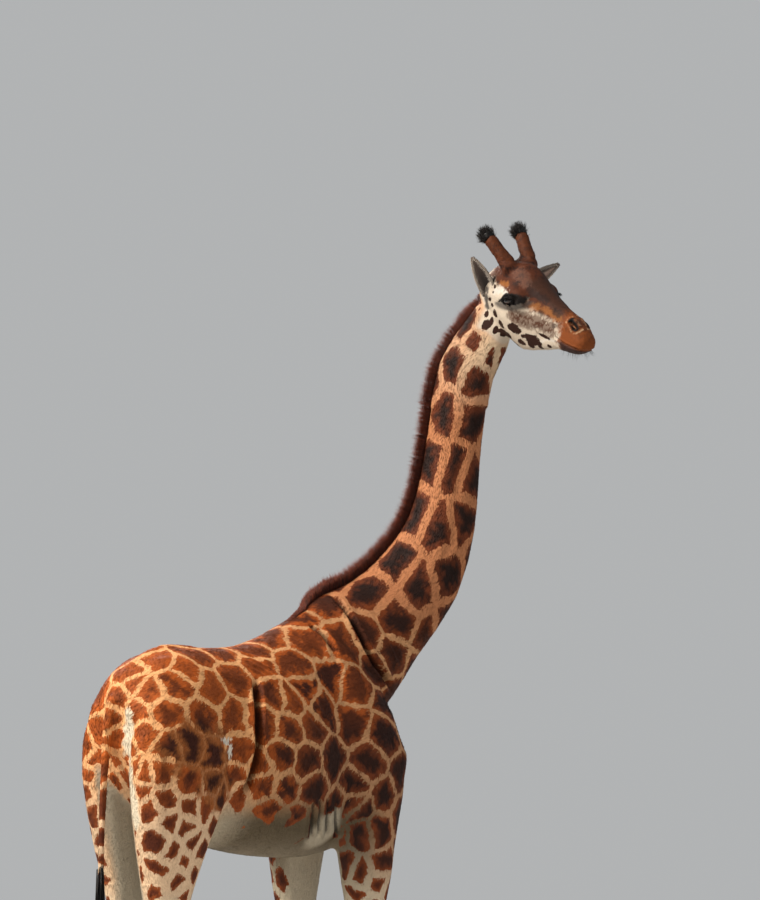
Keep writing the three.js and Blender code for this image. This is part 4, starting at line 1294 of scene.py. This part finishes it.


# Mane bristle: stiff and dull, nearly black at the root, partly as painted shade, so that the fringe looks
# deep.
mane_bristle = hair_material("mane_bristle", "#2a0f07", "#823517", 0.6)
rng = np.random.default_rng(21)
shares = np.sort(rng.uniform(0, 1, MANE_LOCKS))
middle, climb = along_line(MANE_LINE, shares)
stands = np.stack([np.convolve(np.pad(column, EVENED // 2, mode="edge"), np.ones(EVENED) / EVENED, "valid")
                   for column in rooted(middle)[1].T], -1)
stands = unit(stands - (stands * climb).sum(1)[:, None] * climb)
beside = np.cross(stands, climb)
sway = rng.uniform(-1, 1, (MANE_LOCKS, 1))
roots = rooted(middle + beside * sway * MANE_HALF)[0] - BRISTLE_DEEP * stands
away = unit(stands + 0.22 * sway * beside + 0.10 * rng.normal(size=(MANE_LOCKS, 3)) + 0.12 * climb)
long = MANE_LONG * np.clip(0.15 + shares * 5, 0, 1) * np.clip(0.55 + (1 - shares) * 9, 0, 1)
long *= 1 + 0.10 * np.sin(shares * 610) + 0.08 * np.sin(shares * 1430 + 2)
long *= rng.uniform(0.8, 1.08, MANE_LOCKS) * (1 - 0.22 * np.abs(sway[:, 0]))
tint = np.clip(0.50 + 0.3 * rng.normal(size=MANE_LOCKS), 0, 1)
mane = locks("mane_bristles", mane_bristle, roots, away, climb, long, BRISTLE_WIDE, tint,
             (shares, sway[:, 0]), rise=0.08, droop=1.2, sections=3)
set_on(mane, "mane_hair", "mane")

# ---- Tail tassel ---------------------------------------------------------------------------------
# Long coarse black hair that hangs in wavy locks from the end of the dock. The locks are rooted
# round its last third, the most of them near the end.

TASSEL_LOCKS, TASSEL_TOP, TASSEL_END = 900, 1590, 880
TASSEL_ROOTS = 330  # mm of the dock that carry the locks
TASSEL_MIDDLE, TASSEL_RADIUS = np.array([0.0, 776.0]), 11
# Black coarse hair: glossier than the coat, so that single locks catch the light.
black_hair = hair_material("black_tuft_hair", "#050404", "#2b221e", 0.5)
rng = np.random.default_rng(22)
turn = rng.uniform(0, 2 * math.pi, TASSEL_LOCKS)
start = TASSEL_TOP - TASSEL_ROOTS * rng.uniform(0, 1, TASSEL_LOCKS) ** 0.6
outward = np.stack([np.cos(turn), np.sin(turn), 0 * turn], -1)
roots = np.column_stack([TASSEL_MIDDLE + outward[:, :2] * TASSEL_RADIUS, start])
roots[:, :2] += rng.normal(size=(TASSEL_LOCKS, 2)) * 2
long = (start - TASSEL_END) * rng.uniform(0.62, 1.0, TASSEL_LOCKS)
spread = rng.uniform(0.01, 0.075, TASSEL_LOCKS)
away = unit(np.array([0.0, 0.012, -1.0]) + outward * spread[:, None])
wide, tint, rise = (rng.uniform(low, high, TASSEL_LOCKS) for low, high in ((4, 7), (0, 1), (0.0, 0.09)))
tassel = locks("tassel_hair", black_hair, roots, away, np.cross(away, outward), long, wide, tint,
               (turn, start), rise=rise, droop=0.9, sections=6)
set_on(tassel, "tuft_hair", "tail_tassel")

# ---- Horn tufts ----------------------------------------------------------------------------------
# Shaggy black hair round the blunt end of each horn, swept up and back. Under it lies the horn's
# own rounded end, in black hair too short to stand.

HORN_BASE, HORN_TIP = (124, 184, 68), (-8, 276, 102)
HORN_LOCKS = 1200
TUFT_RADIUS, TUFT_TALL = 27, 22  # mm: the ring of roots, and how far they reach up and down
END_RADIUS, END_LONG, END_SINK = 28.5, 40, 26  # mm: the horn's end under the tuft
END_RINGS, END_SPOKES = 7, 20
for side, name in ((-1, "right"), (1, "left")):
    rng = np.random.default_rng(23 + side)
    base, tip = (on_head(along, up, side * out) for along, up, out in (HORN_BASE, HORN_TIP))
    axis = unit(tip - base)
    around = unit(np.cross(axis, HEAD_AXES[0]))
    toward = np.cross(around, axis)
    height = rng.uniform(-1, 1, HORN_LOCKS)
    top = np.clip(height, 0, 1)
    turn = rng.normal(-math.pi / 2, 1.1 + 1.6 * top)  # most of it grows behind
    ring = np.cos(turn)[:, None] * around + np.sin(turn)[:, None] * toward
    flat = np.sqrt(1 - top ** 2)[:, None]
    roots = tip - 10 * axis + TUFT_RADIUS * flat * ring + (TUFT_TALL * height)[:, None] * axis
    away = 0.55 * flat * ring + (0.3 + 0.7 * top)[:, None] * axis
    away = unit(away - 0.7 * HEAD_AXES[0] + 0.3 * HEAD_AXES[1] + 0.28 * rng.normal(size=away.shape))
    long, wide, tint, rise = (rng.uniform(low, high, HORN_LOCKS)
                              for low, high in ((14, 46), (1.8, 3.4), (0, 1), (-0.5, 0.6)))
    tuft = locks("horn_tuft_" + name, black_hair, roots, away, ring + 0.3 * axis, long, wide, tint,
                 (turn, height), rise=rise, droop=1.0, sections=4)
    set_on(tuft, "tuft_hair", "ossicone_tuft_" + name)
    spoke = np.arange(END_SPOKES)[:, None] / END_SPOKES * 2 * math.pi
    ring = np.cos(spoke) * around + np.sin(spoke) * toward
    rings = []
    for k in range(END_RINGS):
        share = k / (END_RINGS - 1)
        radius = END_RADIUS * math.sqrt(max(1 - max(share - 0.45, 0) ** 2 / 0.31, 0.02))
        rings.append(tip + (END_LONG * share - END_SINK) * axis + radius * ring)
    points, made = rings_to_mesh(rings)
    cap = mesh_of("horn_end_" + name, ORIGIN + points / 1000, made, black_hair)
    layer_on(cap, "tint", np.zeros(len(points)))
    set_on(cap, "tuft_hair")

# ---- Ears ----------------------------------------------------------------------------------------
# Leaf-shaped cups of gristle under thin skin, dark inside at the root, partly their skin and partly
# painted shade, with a pale fringe inside both rims and a short coat over the back. Each stands on
# the side of the head behind the eye.

EAR_BASE = (84, 0, 92)
EARS = {  # the side, the tip, and the way the hollow faces: along, up and out
    "right": (-1, (25, 182, 192), (0.35, 0, 0.9)), "left": (1, (168, 168, 228), (0.9, 0.1, -0.15))}
EAR_HALF, EAR_SHELL, EAR_ROWS, EAR_COUNT = 43, 5.0, 26, 22
FRINGE_HAIRS, BACK_HAIRS = 900, 3200

# Ear hide: thin skin under down, dull and softly mottled.
DOWN = 3.8  # mm from tuft to tuft of the down, coarser than its real hair so that it shows
ear_hide, tree = material("ear_hide")
worn = add(tree, "Attribute", attribute_name="ground")
down_hair = add(tree, "TexNoise", {"Vector": add(tree, "NewGeometry"), "Scale": 1000 / DOWN, "Detail": 3.0})
varied = add(tree, "MapRange",
             {"Value": down_hair, "From Min": 0.3, "From Max": 0.7, "To Min": 0.8, "To Max": 1.15})
tinted = add(tree, "VectorMath", {0: worn, "Scale": varied}, operation="SCALE")
ear_skin = add(tree, "BsdfPrincipled", {"Base Color": tinted, "Roughness": 0.65, "Specular IOR Level": 0.3})
add(tree, "OutputMaterial", {"Surface": ear_skin})
# deep is the bottom of the cup, partly dark skin and partly painted shade.
EAR_TONES = colours(deep="#332c2a", light="#c6a99b", hollow="#8a766d", rim="#b5aa9e", back="#a8998a",
                    root="#5b524c", edge="#453c38")


def back_of_ear(share, cover=1.0):
    """The coat's colour behind the ear at shares of its length, where cover is full."""
    tone = mixed(EAR_TONES["back"], EAR_TONES["root"], cover * smooth(0.45, 0.1, share))
    return mixed(tone, EAR_TONES["edge"], cover * smooth(0.7, 1.0, share))


for name, (side, tip, faces_way) in EARS.items():
    rng = np.random.default_rng(31 + side)
    base = on_head(EAR_BASE[0], EAR_BASE[1], side * EAR_BASE[2])
    tip = on_head(tip[0], tip[1], side * tip[2])
    upward = unit(tip - base)
    opens = np.array([faces_way[0], faces_way[1], side * faces_way[2]]) @ HEAD_AXES
    opens = unit(opens - opens @ upward * upward)
    across = np.cross(opens, upward)
    length = np.linalg.norm(tip - base)

    def ear_at(share, turn, inner):
        """A place on the ear: up its length, round from rim (0) to rim (1), on either face."""
        half = EAR_HALF * np.sin(math.pi * (0.27 + 0.72 * share)) ** 0.8 + 1.0
        shell = inner * np.minimum(EAR_SHELL, half * 0.4)
        deep = half * (0.8 - 0.42 * share)
        bend = math.pi * (1.06 * turn - 0.03)
        bow = 7 * np.sin(math.pi * share)
        middle = base + upward * (share * length)[..., None] - opens * bow[..., None]
        return (middle - across * ((half - shell) * np.cos(bend))[..., None]
                - opens * ((deep - shell) * np.sin(bend))[..., None])

    shares = np.linspace(0, 1, EAR_ROWS + 1)
    turns = (np.arange(EAR_COUNT) + 0.5) / EAR_COUNT
    share, turn = np.meshgrid(shares, np.concatenate([turns, turns[::-1]]), indexing="ij")
    inner = np.repeat([[0.0] * EAR_COUNT + [1.0] * EAR_COUNT], EAR_ROWS + 1, 0)
    points, made = rings_to_mesh(ear_at(share, turn, inner))
    ear = mesh_of("ear_shell_" + name, ORIGIN + points / 1000, made, ear_hide)
    share, turn, inner = (np.append(v.ravel(), [v[0].mean(), v[-1].mean()]) for v in (share, turn, inner))
    # The lining darkens toward the fold of the cup and toward its root: partly dark skin and partly painted
    # shade.
    from_fold = np.abs(turn - 0.5)
    hollow = mixed(EAR_TONES["deep"], EAR_TONES["hollow"],
                   smooth(0.1, 0.45, from_fold) * 0.7 + 0.3 * smooth(0.3, 0.8, share))
    colour = mixed(back_of_ear(share, 1 - inner), hollow, inner)
    # Her left ear's lining keeps the darker hollow colour on its upper half, as painted shade under the fold
    # over it, and takes the paler colour below.
    if side > 0:  # the lining of her left ear is paler on its lower half
        below = smooth(0.55, 0.38, turn) * smooth(0.95, 0.8, share)
        colour = mixed(colour, EAR_TONES["light"], inner * below)
    colour = mixed(colour, EAR_TONES["rim"], smooth(0.34, 0.5, from_fold) * smooth(0.98, 0.8, share) * 0.4)
    layer_on(ear, "ground", colour, "FLOAT_COLOR")
    set_on(ear, "ear_skin", "ear_" + name)

    # Hair: the fringe, then the coat behind
    share, edge = rng.uniform(0.04, 0.93, FRINGE_HAIRS), rng.integers(0, 2, FRINGE_HAIRS)
    far, near = (0.1 * rng.uniform(size=FRINGE_HAIRS) for rim in range(2))
    turn = np.where(edge, 0.985 - far, 0.015 + near)
    roots = ear_at(share, turn, np.ones(FRINGE_HAIRS))
    inward = across * np.where(edge, -1.0, 1.0)[:, None]
    away = unit(0.75 * inward + 0.8 * upward + 0.2 * opens + 0.25 * rng.normal(size=roots.shape))
    back_share, back_turn = rng.uniform(0.02, 0.97, BACK_HAIRS), rng.uniform(0.02, 0.98, BACK_HAIRS)
    back_roots = ear_at(back_share, back_turn, np.zeros(BACK_HAIRS))
    outward = unit(back_roots - (base + upward * (back_share * length)[:, None]))
    back_away = unit(upward + 0.22 * outward + 0.12 * rng.normal(size=back_roots.shape))
    roots, away, share, turn = (np.concatenate(pair) for pair in (
        (roots, back_roots), (away, back_away), (share, back_share), (turn, back_turn)))
    long = np.concatenate([rng.uniform(9, 20, FRINGE_HAIRS), rng.uniform(6, 10, BACK_HAIRS)])
    wide = np.where(long > 8.9, 1.5, 2.4)
    stands = unit(np.cross(np.cross(away, opens + 0.1 * across), away))
    points, made, patch, each = tuft_mesh(roots, stands, away, long, wide, 0.05)
    fringe = mesh_of("ear_hair_" + name, ORIGIN + points / 1000, made, ear_hide)
    pale = EAR_TONES["rim"] * rng.uniform(0.75, 1.1, (FRINGE_HAIRS, 1))
    short = mixed(back_of_ear(back_share), EAR_TONES["rim"], smooth(0.38, 0.5, np.abs(back_turn - 0.5)) * 0.8)
    short = short * rng.uniform(0.8, 1.15, (BACK_HAIRS, 1))
    layer_on(fringe, "ground", np.repeat(np.concatenate([pale, short]), each, 0), "FLOAT_COLOR")
    bake_map(fringe, np.stack([share, turn], -1), patch, each)
    set_on(fringe, "ear_skin")

# ---- Lashes and whiskers -------------------------------------------------------------------------
# Long black lashes on the upper lids, and sparse stiff hairs on the lips and chin, each a closed
# tapered lock rooted in the hide.

LASHES, WHISKERS = 150, 90
for side, name in ((-1, "right"), (1, "left")):
    rng = np.random.default_rng(41 + side)
    centre, axes = eye_frame(side)
    s = rng.uniform(-0.92, 1.0, LASHES)
    t = EYE_UPPER * (1 - np.abs(s) ** 1.6) ** (1 / 1.9)
    n = np.sqrt(np.maximum((EYE_RADIUS + LID) ** 2 - (s * EYE_LONG) ** 2 * 0.86 - t ** 2, 16)) + 1
    roots = centre + np.stack([s * EYE_LONG, t + rng.uniform(-1, 2, LASHES), n], -1) @ axes
    away = np.stack([0.75 * s + 0.35, -0.30 + 0.1 * rng.normal(size=LASHES), 0.75 + 0 * s], -1) @ axes
    away = unit(away + 0.06 * rng.normal(size=away.shape))
    long, tint = rng.uniform(26, 42, LASHES), rng.uniform(0, 0.4, LASHES)
    lashes = locks("lashes_" + name, black_hair, roots, away, np.tile(axes[0], (LASHES, 1)), long, 1.5, tint,
                   (s, t), rise=-0.35, droop=0.7, sections=3)
    set_on(lashes, "tuft_hair")
rng = np.random.default_rng(44)
along, side = rng.uniform(565, 716, WHISKERS), rng.uniform(-1, 1, WHISKERS)
starts = [on_head(a, -46 + 30 * abs(b) * rng.uniform(), 52 * b) for a, b in zip(along, side)]
roots, out_ways = rooted(starts)
away = unit(out_ways + 0.5 * HEAD_AXES[0] - 0.5 * HEAD_AXES[1] + 0.25 * rng.normal(size=roots.shape))
long, tint = rng.uniform(18, 46, WHISKERS), rng.uniform(0, 1, WHISKERS)
whiskers = locks("whiskers", black_hair, roots, away, np.tile(HEAD_AXES[0], (WHISKERS, 1)), long, 0.9, tint,
                 (along, side), rise=0.15, droop=1.0, sections=3)
set_on(whiskers, "tuft_hair")
